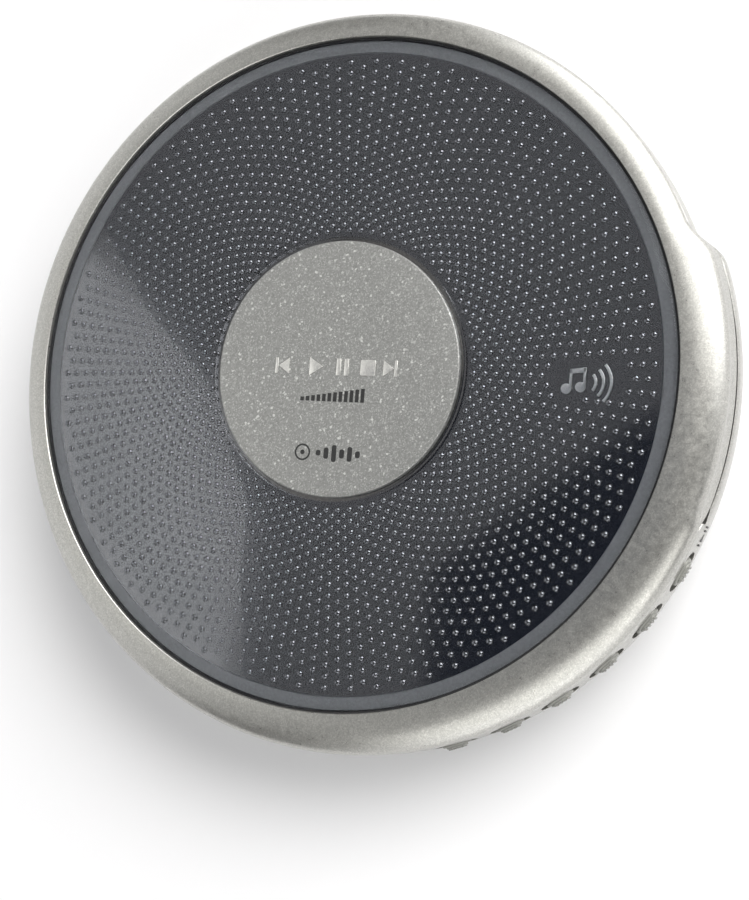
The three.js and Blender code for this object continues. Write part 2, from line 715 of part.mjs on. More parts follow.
function makeBoards() {
  const holes = SCREWS.map(([x, y]) => post(x, y, 2.6, 0, 20, 16));
  add('main_board', cut(
    plate(boardShape(-1, -58), BOARD_Z, BOARD_Z + BOARD_T), ...holes), 'board');
  add('key_board', cut(
    plate(boardShape(1, -58), BOARD_Z, BOARD_Z + BOARD_T), ...holes), 'board');
  const top = BOARD_Z + BOARD_T;
  add('signal_chip', box(-46, -33, -22, -9, top, top + 1.6), 'chip');
  add('memory_chip', box(-44, -34, -4, 4, top, top + 1.2), 'chip');
  add('audio_chip', box(36, 45, -20, -11, top, top + 1.4), 'chip');
  add('buffer_capacitor', post(52, -22, 3.0, top, top + 5, 20), 'dark_plastic');
}

function makeJacks() {
  JACKS.forEach(({ name, angle, bore, collar }) => {
    const face = outline(angle);
    const body = join(
      inWall(rectangle(-4, 4, -2.8, 2.8), angle, JACK_Z, face - 13, face - 3.3),
      inWall(circle(collar), angle, JACK_Z, face - 4, face - 0.4),
    );
    add(name, cut(body, inWall(circle(bore), angle, JACK_Z, face - 12, face + 1)),
      'dark_plastic');
  });
}

function makeCells() {
  const base = FLOOR_TOP + 0.1;
  CELL_ROWS.forEach((y, i) => {
    const half = [CELL.length / 2, CELL.width / 2];
    const can = box(-half[0], half[0], y - half[1], y + half[1], base, base + CELL.height);
    const button = box(-half[0] - 0.8, -half[0] + 1, y - 2.5, y + 2.5, base + 1.5, base + 4.5);
    const turn = i % 2 === 0 ? join(can, button) : join(
      can,
      box(half[0] - 1, half[0] + 0.8, y - 2.5, y + 2.5, base + 1.5, base + 4.5),
    );
    add(`cell_${i + 1}`, turn, 'cell');
  });
  [-1, 1].forEach((side) => {
    const [x0, x1] = side < 0 ? [-35.6, -35.1] : [35.1, 35.6];
    add(side < 0 ? 'cell_contact_left' : 'cell_contact_right',
      box(x0, x1, 16, 47, base, base + CELL.height), 'steel');
  });
  const door = box(-BAY.x + GAP, BAY.x - GAP, BAY.y0 + GAP, BAY.y1 - 0.45, FOOT_H, FLOOR_TOP - 0.2);
  const grips = [0, 1, 2, 3].map((i) => (
    box(-6, 6, BAY.y0 + 3 + 2 * i, BAY.y0 + 4 + 2 * i, 0, FOOT_H + 0.4)));
  add('battery_door', cut(door, ...grips), 'silver');
}

// ---- Assembly -----------------------------------------------------------------------------

makeCase();
makeSlides();
makeFeetAndScrews();
makeTray();
makeHingeParts();
makeLid();
makeKeys();
makeDrive();
makeSpindle();
makePickup();
makeFeed();
makeBoards();
makeJacks();
makeCells();

const bounds = new THREE.Box3().setFromObject(player);
const middle = bounds.getCenter(new THREE.Vector3());
player.position.set(-middle.x, -middle.y, 0);

const group = new THREE.Group();
group.add(player);

export default group;
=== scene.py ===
"""Portable CD player, lying closed on a pale floor: fine surfaces and finishes round the frame."""
import bpy
import bmesh
import json
import math
from mathutils import Matrix, Vector


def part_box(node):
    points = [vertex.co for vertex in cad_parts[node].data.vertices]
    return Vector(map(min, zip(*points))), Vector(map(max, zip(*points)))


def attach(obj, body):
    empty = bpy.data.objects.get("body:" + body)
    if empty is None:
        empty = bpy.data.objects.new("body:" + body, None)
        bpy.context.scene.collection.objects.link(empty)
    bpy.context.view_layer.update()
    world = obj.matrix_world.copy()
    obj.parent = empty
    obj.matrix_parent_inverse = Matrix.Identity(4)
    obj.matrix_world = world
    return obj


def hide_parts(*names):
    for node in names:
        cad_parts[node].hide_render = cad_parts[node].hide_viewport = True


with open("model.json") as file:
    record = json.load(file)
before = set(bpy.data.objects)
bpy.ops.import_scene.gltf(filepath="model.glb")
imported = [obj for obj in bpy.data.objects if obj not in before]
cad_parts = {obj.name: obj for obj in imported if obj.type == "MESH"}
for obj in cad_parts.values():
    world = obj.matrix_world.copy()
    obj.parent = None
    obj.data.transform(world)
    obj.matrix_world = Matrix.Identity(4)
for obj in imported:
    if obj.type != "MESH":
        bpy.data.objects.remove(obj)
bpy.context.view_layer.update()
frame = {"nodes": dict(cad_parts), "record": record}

MM = 0.001
DEG = math.pi / 180

# ---- Places and sizes, in millimetres about the disc axis -----------------------------------


def node_box(name):
    """Lowest and highest corner of a CAD node, in millimetres in the row frame."""
    low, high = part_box(name)
    return [v / MM for v in low], [v / MM for v in high]


def centre_of(name):
    low, high = node_box(name)
    return [(a + b) / 2 for a, b in zip(low, high)]


AXIS = centre_of("centre_badge")[:2]  # the disc axis in the row frame
LID_TOP = node_box("lid_window")[1][2]
PLATE_TOP = node_box("dot_plate")[1][2]
LID_R = 65.3  # round part of the outline
BULGE_R = 66.95  # bulge circle on the key side
BULGE = (1.83, -0.67)  # middle of the bulge circle
FLARE = 0.45  # how far the case stands out past the lid
SKIRT_Z = 16.9  # lower edge of the lid's skirt
HINGE_SKIRT_Z = node_box("lid_rim")[0][2]  # the same over the hinge
FEET, SCREWS = range(1, 5), range(1, 6)  # their numbers in the CAD nodes' names
FOOT_H = node_box("foot_1")[1][2]
WINDOW_R = 60.1
RIM_IN_R = 60.5
LEDGE_R = 57.5  # inner edge of the ledge under the window
LEDGE_Z, LEDGE_TOP = 18.0, 19.2
PLATE_Z = 18.4  # underside of the dot plate
FILM_R = 59.9
BADGE_R = 23.0
KEY_ANGLES = [-26.7, -35.0, -43.2, -51.5, -59.8, -68.3]
KEY_Z = 13.1
MARK_ANGLE = -21.2  # printed sign on the wall beside the keys
ROUND = 288  # facets round the large circles
GLASS_Z = LID_TOP - 0.9  # underside of the window's clear sheet
FILM_TOP = PLATE_TOP + 0.4  # face of the film under the window
BAND_R = 57.7  # inner edge of the band round the window
DOT_RINGS = 32  # rings of dots, a millimetre apart
DOTS_PER_RING = 72
DOT_RING_R = 56.2  # the outermost ring
DOT_R = 0.60
DOT_H = 0.42
BADGE_TOP = LID_TOP - 0.1  # face of the badge, under its raised marks
HINGE_X, HINGE_Z = 64.6, 15.6  # hinge axis of the lid, along Y
HINGE_HALF = 23.0  # half the length of the recess round it
KNUCKLE_R = 1.5
WELL_R = 60.9  # disc well
TRAY_Z, TRAY_TOP = 11.4, 12.6
FLANGE_Z, FLANGE_TOP = 15.4, 16.5
LINER_Z, LINER_TOP = 17.2, 18.0
SLIDE_Z = 10.2
SLIDES = {"open_slider": (180, 4.6, 3.0), "hold_switch": (207, 3.0, 2.0)}  # angle, half length, travel
JACK_Z = 8.0
HOOK_Z = 11.9  # lower end of the lid's hook
MOTOR_R = 10.5
JACKS = {"headphone_socket": (226, 1.8, 3.0), "line_socket": (97, 1.8, 2.6),
         "power_socket": (82, 2.4, 3.0)}  # angle, bore radius, collar radius
BAY = (-37.0, 37.0, 13.0, 50.0)  # battery bay: x from, to, y from, to
EMBLEM = (45.3, -0.8)  # middle of the pictogram on the window
EMBLEM_CLEAR = (6.1, 3.1)  # half width and height of the field with no dots
SMOOTH = 35  # edges that bend less, in degrees, are shaded smooth


def smooth_step(start, end, value):
    t = min(max((value - start) / (end - start), 0.0), 1.0)
    return t * t * (3 - 2 * t)


def outline(angle):
    """The lid's outer radius at an angle in degrees."""
    turn = (angle - 24) % 360 + 24
    if turn < 180:
        return LID_R
    towards = BULGE[0] * math.cos(angle * DEG) + BULGE[1] * math.sin(angle * DEG)
    bulge = towards + math.sqrt(BULGE_R ** 2 - BULGE[0] ** 2 - BULGE[1] ** 2 + towards ** 2)
    step = smooth_step(378, 384, turn)
    return max(LID_R, bulge + (LID_R - bulge) * step)


def hinge_zone(angle):
    """1 where the lid's skirt hangs lower outside the hinge axis, 0 elsewhere."""
    turn = (angle + 180) % 360 - 180
    return smooth_step(-21, -17, turn) * (1 - smooth_step(18, 23, turn))


def skirt_z(angle):
    return SKIRT_Z - (SKIRT_Z - HINGE_SKIRT_Z) * hinge_zone(angle)


# ---- Mesh helpers ---------------------------------------------------------------------------


def piece(name, verts, faces, finish, smooth=SMOOTH):
    """A mesh piece from millimetre points in the row frame, shaded smooth under an angle."""
    mesh = bpy.data.meshes.new(name)
    mesh.from_pydata([[c * MM for c in v] for v in verts], [], faces)
    mesh.validate()
    obj = bpy.data.objects.new(name, mesh)
    bpy.context.scene.collection.objects.link(obj)
    tidy(obj, smooth)
    mesh.materials.append(finish)
    return obj


def tidy(obj, smooth):
    """Merges doubled points, turns faces outwards and marks sharp edges."""
    work = bmesh.new()
    work.from_mesh(obj.data)
    bmesh.ops.remove_doubles(work, verts=work.verts, dist=1e-7)
    bmesh.ops.recalc_face_normals(work, faces=work.faces)
    for face in work.faces:
        face.smooth = True
    for edge in work.edges:
        edge.smooth = len(edge.link_faces) == 2 and edge.calc_face_angle(0) < smooth * DEG
    work.to_mesh(obj.data)
    work.free()


def bands(rows, count, closed=False):
    """Quads between rows of so many points, each row a loop; closed joins the last to the first."""
    faces = []
    for row in range(rows if closed else rows - 1):
        a, b = row * count, (row + 1) % rows * count
        for i in range(count):
            j = (i + 1) % count
            faces.append((a + i, a + j, b + j, b + i))
    return faces


def capped(rows, count):
    """Bands with a face over the first row and one over the last."""
    last = (rows - 1) * count
    return bands(rows, count) + [tuple(range(count)), tuple(range(last, last + count))]


def upright(x=0.0, y=0.0):
    """Matrix that puts a shape at a place given about the disc axis."""
    return Matrix.Translation((AXIS[0] + x, AXIS[1] + y, 0))


def around(name, profile_at, finish, segments=ROUND, place=None, smooth=SMOOTH):
    """A closed ring whose (r, z) profile changes with the angle, about the disc axis."""
    place = place or upright()
    verts = []
    for i in range(segments):
        angle = i * 360 / segments
        c, s = math.cos(angle * DEG), math.sin(angle * DEG)
        verts += [place @ Vector((r * c, r * s, z)) for r, z in profile_at(angle)]
    return piece(name, verts, bands(segments, len(profile_at(0)), True), finish, smooth)


def turned(name, profile, finish, segments=ROUND, place=None, smooth=SMOOTH):
    """A closed ring of one (r, z) profile."""
    return around(name, lambda angle: profile, finish, segments, place, smooth)


def swept(name, section_at, start, end, finish, steps):
    """A block that follows the round wall: a closed (r, z) section swept between two angles."""
    verts = []
    for i in range(steps + 1):
        angle = start + (end - start) * i / steps
        c, s = math.cos(angle * DEG), math.sin(angle * DEG)
        section = section_at(angle)
        verts += [(AXIS[0] + r * c, AXIS[1] + r * s, z) for r, z in section]
    return piece(name, verts, capped(steps + 1, len(section)), finish)


def bar(name, flat, y0, y1, finish, bevel=0.0):
    """A flat (x, z) outline drawn out along Y."""
    stand = Matrix(((1, 0, 0, 0), (0, 0, 1, 0), (0, 1, 0, 0), (0, 0, 0, 1)))
    return prism(name, flat, y0, y1, finish, upright() @ stand, bevel)


def rod(name, x, z, radius, y0, y1, finish, bevel=0.0):
    """A round bar along Y."""
    return bar(name, circle(radius, x, z, 40), y0, y1, finish, bevel)


def circle(radius, x=0.0, y=0.0, sides=48):
    """A round outline, anticlockwise."""
    return arc(x, y, radius, radius, 0, 360 - 360 / sides, sides - 1)


def tube(name, points, radius, finish, sides=8):
    """A round wire along a list of points, closed at both ends."""
    verts = []
    side = Vector((0, 1, 0))
    for i, point in enumerate(points):
        ahead = Vector(points[min(i + 1, len(points) - 1)]) - Vector(points[max(i - 1, 0)])
        across = ahead.cross(side).normalized()
        other = ahead.cross(across).normalized()
        for j in range(sides):
            turn = j * 2 * math.pi / sides
            offset = (across * math.cos(turn) + other * math.sin(turn)) * radius
            verts.append(upright() @ (Vector(point) + offset))
    return piece(name, verts, capped(len(points), sides), finish, 60)


def rounded(x0, x1, y0, y1, radius, steps=5):
    """A rectangle with round corners, anticlockwise."""
    corners = [(x1 - radius, y0 + radius, -90), (x1 - radius, y1 - radius, 0),
               (x0 + radius, y1 - radius, 90), (x0 + radius, y0 + radius, 180)]
    return [p for x, y, a in corners for p in arc(x, y, radius, radius, a, a + 90, steps)]


def arc(cx, cz, rx, rz, start, end, steps):
    """Points on an ellipse arc, angles in degrees."""
    turns = [start + (end - start) * i / steps for i in range(steps + 1)]
    return [(cx + rx * math.cos(t * DEG), cz + rz * math.sin(t * DEG)) for t in turns]


def prism(name, flat, z0, z1, finish, place=None, bevel=0.0):
    """A flat outline extruded from z0 to z1, with a rounded top edge, moved by a matrix."""
    rows = [(flat, z0), (flat, z1 - bevel)]
    if bevel:
        for t in (30, 60, 90):
            shrink = bevel * (1 - math.cos(t * DEG))
            rows.append((inset(flat, shrink), z1 - bevel + bevel * math.sin(t * DEG)))
    matrix = place or upright()
    verts = [matrix @ Vector((x, y, z)) for row, z in rows for x, y in row]
    return piece(name, verts, capped(len(rows), len(flat)), finish)


def inset(flat, distance):
    """An anticlockwise outline moved inwards along its corner normals."""
    count = len(flat)
    moved = []
    for i in range(count):
        before, here, after = Vector(flat[i - 1]), Vector(flat[i]), Vector(flat[(i + 1) % count])
        normal = (here - before).normalized() + (after - here).normalized()
        normal = Vector((-normal.y, normal.x)).normalized()
        moved.append(here + normal * distance)
    return moved


def stadium(width, height, steps=10):
    """A round-ended slot outline, anticlockwise."""
    radius = height / 2
    reach = width / 2 - radius
    right = arc(reach, 0, radius, radius, -90, 90, steps)
    left = arc(-reach, 0, radius, radius, 90, 270, steps)
    return right + left


def rectangle(x0, x1, y0, y1):
    return [(x0, y0), (x1, y0), (x1, y1), (x0, y1)]


def in_wall(angle, z):
    """Matrix that stands a flat outline in the side wall: X along the wall, Y up, Z outwards."""
    c, s = math.cos(angle * DEG), math.sin(angle * DEG)
    matrix = Matrix(((-s, 0, c, 0), (c, 0, s, 0), (0, 1, 0, 0), (0, 0, 0, 1)))
    return Matrix.Translation((*AXIS, z)) @ matrix


def joined(name, parts):
    """Several pieces as one object."""
    if len(parts) > 1:
        with bpy.context.temp_override(active_object=parts[0], selected_editable_objects=parts):
            bpy.ops.object.join()
    parts[0].name = name
    parts[0].data.name = name
    return parts[0]


def subtract(obj, *cutters):
    """Cuts the cutters out of obj and deletes them."""
    tool = joined("cut", list(cutters))
    modifier = obj.modifiers.new("cut", "BOOLEAN")
    modifier.object = tool
    modifier.solver = "EXACT"
    modifier.use_self = True
    apply_modifiers(obj)
    bpy.data.objects.remove(tool)
    tidy(obj, SMOOTH)


def apply_modifiers(obj):
    graph = bpy.context.evaluated_depsgraph_get()
    mesh = bpy.data.meshes.new_from_object(obj.evaluated_get(graph))
    obj.modifiers.clear()
    old, obj.data = obj.data, mesh
    bpy.data.meshes.remove(old)


# ---- Materials ------------------------------------------------------------------------------


class Nodes:
    """Short ways to add and join shader nodes in a tree."""

    def __init__(self, tree):
        self.tree = tree

    def node(self, kind, **values):
        made = self.tree.nodes.new(kind)
        for key, value in values.items():
            if key in made.inputs:
                made.inputs[key].default_value = value
            else:
                setattr(made, key, value)
        return made

    def link(self, output, target):
        self.tree.links.new(output, target)

    def ramp(self, value, stops):
        """A colour ramp of (place, colour) stops over a value."""
        ramp = self.node("ShaderNodeValToRGB")
        elements = ramp.color_ramp.elements
        while len(elements) < len(stops):
            elements.new(0.5)
        for element, (position, colour) in zip(elements, stops):
            element.position = position
            element.color = grey(colour) if isinstance(colour, float) else (*colour, 1.0)
        self.link(value, ramp.inputs["Fac"])
        return ramp.outputs["Color"]

    def scaled(self, value, low, high, from_low=0.3, from_high=0.7):
        """A value between from_low and from_high, moved to between low and high."""
        ranged = self.node("ShaderNodeMapRange")
        for key, number in (("From Min", from_low), ("From Max", from_high),
                            ("To Min", low), ("To Max", high)):
            ranged.inputs[key].default_value = number
        self.link(value, ranged.inputs["Value"])
        return ranged.outputs["Result"]

    def blend(self, factor, first, second):
        """Two colours, or colour outputs, mixed by a number or an output."""
        mix = self.node("ShaderNodeMix", data_type="RGBA")
        for socket, value in ((mix.inputs[0], factor), (mix.inputs[6], first),
                              (mix.inputs[7], second)):
            if hasattr(value, "is_linked"):
                self.link(value, socket)
            else:
                socket.default_value = value if isinstance(value, float) else (*value, 1.0)
        return mix.outputs[2]


class Finish(Nodes):
    """A procedural material: one Principled shader with texture nodes in object space."""

    def __init__(self, name, **sockets):
        self.material = bpy.data.materials.new(name)
        self.material.use_nodes = True
        super().__init__(self.material.node_tree)
        self.shader = self.tree.nodes["Principled BSDF"]
        for socket, value in sockets.items():
            self.shader.inputs[socket.replace("_", " ")].default_value = value
        self.place = self.node("ShaderNodeTexCoord").outputs["Object"]

    def noise(self, scale, detail=4.0, roughness=0.55, squeeze=None):
        """Noise of so many waves a metre, drawn out along the axes by squeeze."""
        place = self.place
        if squeeze:
            mapping = self.node("ShaderNodeMapping")
            mapping.inputs["Scale"].default_value = squeeze
            self.link(place, mapping.inputs["Vector"])
            place = mapping.outputs["Vector"]
        noise = self.node("ShaderNodeTexNoise", Scale=scale, Detail=detail, Roughness=roughness)
        self.link(place, noise.inputs["Vector"])
        return noise.outputs["Fac"]

    def cells(self, scale):
        """Voronoi cells of so many a metre: a random colour for each cell."""
        cells = self.node("ShaderNodeTexVoronoi", Scale=scale)
        self.link(self.place, cells.inputs["Vector"])
        return cells

    def colour(self, output):
        self.link(output, self.shader.inputs["Base Color"])

    def roughness(self, output):
        self.link(output, self.shader.inputs["Roughness"])

    def bump(self, height, distance, strength=1.0):
        """Bump of so many millimetres from a height output."""
        bump = self.node("ShaderNodeBump", Strength=strength, Distance=distance * MM)
        self.link(height, bump.inputs["Height"])
        self.link(bump.outputs["Normal"], self.shader.inputs["Normal"])


def grey(value):
    return (value, value, value, 1.0)


def shade(colour, factor):
    return tuple(min(c * factor, 1.0) for c in colour)


def silver_paint():
    """Warm silver paint with a fine flake, soft cloudy wear and a few hair scratches."""
    finish = Finish("silver_paint", Metallic=0.82, Coat_Weight=0.25, Coat_Roughness=0.22)
    base = (0.43, 0.425, 0.40)
    flake = finish.cells(5200).outputs["Color"]
    cloudy = finish.noise(55, 5)
    tone = finish.ramp(flake, [(0.0, shade(base, 0.80)), (0.55, base), (1.0, shade(base, 1.28))])
    worn = finish.blend(finish.scaled(cloudy, 0.0, 0.03), tone, shade(base, 0.75))
    scratches = finish.noise(420, 2, 0.4, squeeze=(1.0, 14.0, 1.0))
    lines = finish.ramp(scratches, [(0.0, 0.0), (0.70, 0.0), (0.73, 1.0), (0.76, 0.0)])
    finish.colour(finish.blend(lines, worn, shade(base, 1.35)))
    finish.roughness(finish.scaled(finish.noise(900, 3), 0.27, 0.37))
    finish.bump(finish.cells(3600).outputs["Distance"], 0.003, 0.3)
    return finish.material


def sparkle_paint():
    """Light grey paint of the badge, with bright flecks."""
    finish = Finish("sparkle_paint", Metallic=0.45, Coat_Weight=0.15, Coat_Roughness=0.18)
    base = (0.265, 0.267, 0.257)
    flake = finish.cells(4200).outputs["Color"]
    tone = finish.ramp(flake, [(0.0, shade(base, 0.80)), (0.5, base), (1.0, shade(base, 1.16))])
    fine = finish.ramp(finish.cells(5200).outputs["Color"], [(0.0, 0.0), (0.66, 0.0), (0.84, 1.0)])
    large = finish.ramp(finish.cells(3100).outputs["Color"], [(0.0, 0.0), (0.84, 0.0), (0.92, 1.0)])
    flecked = finish.blend(fine, tone, shade(base, 1.55))
    finish.colour(finish.blend(large, flecked, shade(base, 2.2)))
    finish.roughness(finish.scaled(finish.noise(1300, 2), 0.36, 0.52))
    finish.bump(flake, 0.004, 0.5)
    return finish.material


def smoked_window():
    """Clear smoked sheet with faint polish marks; its low index leaves the shine to the film."""
    finish = Finish("smoked_window", Base_Color=(0.80, 0.82, 0.86, 1.0), IOR=1.2,
                    Transmission_Weight=1.0)
    finish.roughness(finish.scaled(finish.noise(700, 4), 0.012, 0.035))
    finish.bump(finish.noise(24, 2), 0.004, 0.4)
    return finish.material


def satin(name, base, metallic, low, high, roughness):
    """Satin print or lacquer with a fine grain, from low to high times its base colour."""
    finish = Finish(name, Metallic=metallic)
    grain = finish.noise(2600, 3)
    finish.colour(finish.ramp(grain, [(0.3, shade(base, low)), (0.7, shade(base, high))]))
    finish.roughness(finish.scaled(finish.noise(900, 3), *roughness))
    return finish.material


def mark_paint():
    """Satin silver of the raised marks."""
    finish = Finish("mark_paint", Metallic=1.0)
    base = (0.93, 0.92, 0.88)
    grain = finish.noise(3200, 3)
    finish.colour(finish.ramp(grain, [(0.3, shade(base, 0.88)), (0.7, shade(base, 1.05))]))
    finish.roughness(finish.scaled(grain, 0.3, 0.42))
    return finish.material


def moulded(name, base, rough=0.5, grain=1800, depth=0.012, metallic=0.0):
    """Moulded plastic with a fine spark-eroded grain and slight tone changes."""
    finish = Finish(name, Metallic=metallic)
    tone = finish.noise(60, 4)
    finish.colour(finish.ramp(tone, [(0.3, shade(base, 0.86)), (0.7, shade(base, 1.12))]))
    finish.roughness(finish.scaled(finish.noise(grain / 2, 3), rough - 0.06, rough + 0.08))
    finish.bump(finish.noise(grain, 3), depth, 0.6)
    return finish.material


def metal(name, base):
    """Bare metal with fine drawn lines and faint stains."""
    finish = Finish(name, Metallic=1.0)
    lines = finish.noise(900, 3, 0.6, squeeze=(1.0, 26.0, 1.0))
    stains = finish.noise(90, 4)
    toned = finish.ramp(lines, [(0.3, shade(base, 0.84)), (0.7, shade(base, 1.1))])
    finish.colour(finish.blend(finish.scaled(stains, 0.0, 0.35), toned, shade(base, 0.7)))
    finish.roughness(finish.scaled(lines, 0.23, 0.42))
    finish.bump(lines, 0.004, 0.5)
    return finish.material


def circuit_board():
    """Green lacquered board with paler copper tracks under the lacquer."""
    finish = Finish("circuit_board", IOR=1.5, Coat_Weight=0.4, Coat_Roughness=0.2)
    base = (0.020, 0.115, 0.055)
    tracks = finish.node("ShaderNodeTexBrick", Scale=420.0)
    tracks.inputs["Mortar Size"].default_value = 0.06
    tracks.inputs["Color1"].default_value = (*base, 1.0)
    tracks.inputs["Color2"].default_value = (*shade(base, 1.18), 1.0)
    tracks.inputs["Mortar"].default_value = (*shade(base, 2.1), 1.0)
    finish.link(finish.place, tracks.inputs["Vector"])
    finish.colour(tracks.outputs["Color"])
    finish.roughness(finish.scaled(finish.noise(500, 3), 0.34, 0.5))
    return finish.material


def print_ink():
    """Black screen-printed ink with slightly uneven cover."""
    finish = Finish("print_ink")
    cover = finish.noise(3000, 3)
    finish.colour(finish.ramp(cover, [(0.3, 0.012), (0.8, 0.03)]))
    finish.roughness(finish.scaled(cover, 0.35, 0.5))
    return finish.material


FINISHES = {
    "silver_paint": silver_paint(),
    "sparkle_paint": sparkle_paint(),
    "smoked_window": smoked_window(),
    "dot_pattern": satin("dot_pattern", (0.235, 0.231, 0.228), 1.0, 0.8, 1.2, (0.08, 0.14)),
    "dot_paint": satin("dot_paint", (0.27, 0.267, 0.265), 1.0, 0.85, 1.12, (0.10, 0.15)),
    "band_paint": satin("band_paint", (0.265, 0.265, 0.26), 0.3, 0.88, 1.1, (0.4, 0.5)),
    "mark_paint": mark_paint(),
    "key_plastic": moulded("key_plastic", (0.235, 0.235, 0.215), 0.42, metallic=0.15),
    "white_plastic": moulded("white_plastic", (0.70, 0.69, 0.65), 0.48),
    "dark_plastic": moulded("dark_plastic", (0.030, 0.031, 0.034), 0.5),
    "chip_plastic": moulded("chip_plastic", (0.014, 0.014, 0.016), 0.55, 2600, 0.008),
    "rubber": moulded("rubber", (0.020, 0.020, 0.021), 0.8, 1200, 0.03),
    "cell_wrap": moulded("cell_wrap", (0.11, 0.25, 0.34), 0.3, 700, 0.004),
    "steel": metal("steel", (0.62, 0.63, 0.64)),
    "brass": metal("brass", (0.64, 0.50, 0.26)),
    "circuit_board": circuit_board(),
    "lens_glass": moulded("lens_glass", (0.12, 0.16, 0.34), 0.1, 500, 0.001),
}
INK = print_ink()
SILVER, STEEL = FINISHES["silver_paint"], FINISHES["steel"]
DARK, RUBBER = FINISHES["dark_plastic"], FINISHES["rubber"]

SLOT_OF = {part["node"]: part["material_slot"] for part in frame["record"]["subparts"]}


def dress_frame():
    """Gives every CAD node the procedural finish of its slot."""
    for name, node in frame["nodes"].items():
        node.data.materials.clear()
        node.data.materials.append(FINISHES[SLOT_OF[name]])


def stands_for(obj, body, *nodes):
    """obj rides on a body in place of CAD nodes, which it hides."""
    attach(obj, body)
    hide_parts(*nodes)
    return obj


def extra(obj, body):
    """obj is an added detail that rides on a body."""
    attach(obj, body)
    return obj


# ---- Lid ------------------------------------------------------------------------------------


def rim_profile(angle):
    """Convex face, skirt and window ledge of the rim; over the hinge the skirt flares."""
    r = outline(angle)
    deep = hinge_zone(angle)
    edge = r - 0.7 * deep
    drop = 0.47 * (r - RIM_IN_R)
    face = arc(RIM_IN_R + 0.12, LID_TOP - drop, edge - RIM_IN_R - 0.12, drop, 90, 0, 22)
    low = skirt_z(angle)
    return [
        (RIM_IN_R, LID_TOP - 0.12), *face,
        (edge + 0.04, LID_TOP - drop - 0.25 - 0.35 * deep),
        (r - 0.03, low + 0.25), (r - 0.12, low + 0.05), (r - 0.3, low),
        (r - 1.3, low), (r - 1.3, LEDGE_Z), (LEDGE_R, LEDGE_Z), (LEDGE_R, LEDGE_TOP),
        (RIM_IN_R, LEDGE_TOP),
    ]


def make_lid():
    """Rim, window, film with its dots and band, a black ring as painted shade in the gap round the
    window, and badge.
    """
    rim = around("rim", rim_profile, SILVER, 360)
    stands_for(rim, "lid", "lid_rim")
    hole = BADGE_R + 0.75
    glass = turned("window_glass", [
        (hole, GLASS_Z), (hole, LID_TOP - 0.1), (hole + 0.1, LID_TOP), (40, LID_TOP),
        (BAND_R, LID_TOP), (BAND_R + 0.15, LID_TOP - 0.01), (59.5, LID_TOP - 0.28),
        *arc(59.6, LID_TOP - 0.72, WINDOW_R - 59.6, 0.4, 75, 0, 6), (WINDOW_R, GLASS_Z),
    ], FINISHES["smoked_window"], smooth=25)
    stands_for(glass, "lid", "lid_window")
    plate = turned("dot_film", [
        (0, PLATE_Z), (57.2, PLATE_Z), (57.2, PLATE_TOP + 0.05), (FILM_R, PLATE_TOP + 0.05),
        (FILM_R, FILM_TOP), (40, FILM_TOP), (0, FILM_TOP),
    ], FINISHES["dot_pattern"])
    stands_for(plate, "lid", "dot_plate")
    extra(make_dots(FILM_TOP), "lid")
    band = turned("window_band", [
        (BAND_R, FILM_TOP), (FILM_R - 0.05, FILM_TOP), (FILM_R - 0.05, FILM_TOP + 0.2),
        (BAND_R + 0.1, FILM_TOP + 0.2),
    ], FINISHES["band_paint"])
    extra(band, "lid")
    # Black rubber ring under the window's edge: painted shade that darkens the gap between window and
    # rim.
    gap_shade = turned("window_gap_shade", [
        (FILM_R + 0.02, LEDGE_TOP + 0.02), (RIM_IN_R - 0.02, LEDGE_TOP + 0.02),
        (RIM_IN_R - 0.02, LID_TOP - 0.75), (FILM_R + 0.02, LID_TOP - 0.95),
    ], RUBBER)
    extra(gap_shade, "lid")
    badge = turned("badge", [
        (0, FILM_TOP + 0.02), (BADGE_R, FILM_TOP + 0.02), (BADGE_R, BADGE_TOP - 0.28),
        *arc(BADGE_R - 0.28, BADGE_TOP - 0.28, 0.28, 0.28, 0, 90, 6)[1:], (12, BADGE_TOP),
        (0, BADGE_TOP),
    ], FINISHES["sparkle_paint"])
    stands_for(badge, "lid", "centre_badge")
    make_window_mark()
    make_badge_marks()


def dot_places():
    """Middles of the dots, every other ring turned by half a step."""
    step = 360 / DOTS_PER_RING
    for ring in range(DOT_RINGS):
        r = DOT_RING_R - ring
        for i in range(DOTS_PER_RING):
            angle = (i + (0.5 if ring % 2 == 0 else 0)) * step
            x, y = r * math.cos(angle * DEG), r * math.sin(angle * DEG)
            if abs(x - EMBLEM[0]) > EMBLEM_CLEAR[0] or abs(y - EMBLEM[1]) > EMBLEM_CLEAR[1]:
                yield x, y


def make_dots(top):
    """Low round domes standing on the film, each with a closed base."""
    sides = 10
    turns = [i * 2 * math.pi / sides for i in range(sides)]
    rows = [(1.0, -0.06), *((math.cos(t * DEG), DOT_H * math.sin(t * DEG)) for t in (0, 25, 50, 72))]
    tip = len(rows) * sides
    dome = bands(len(rows), sides)
    dome += [(tip - sides + i, tip - sides + (i + 1) % sides, tip) for i in range(sides)]
    dome.append(tuple(reversed(range(sides))))
    verts, faces = [], []
    for x, y in dot_places():
        faces += [tuple(len(verts) + i for i in face) for face in dome]
        x, y = AXIS[0] + x, AXIS[1] + y
        for share, rise in rows:
            verts += [(x + DOT_R * share * math.cos(turn), y + DOT_R * share * math.sin(turn),
                       top + rise) for turn in turns]
        verts.append((x, y, top + DOT_H))
    return piece("dots", verts, faces, FINISHES["dot_paint"], 60)


def flat_marks(name, shapes, place, z0, z1, finish, body, bevel=0.0):
    """Thin flat shapes as one piece that rides on a body."""
    parts = [prism("mark", shape, z0, z1, finish, place, bevel) for shape in shapes]
    return extra(joined(name, parts), body)


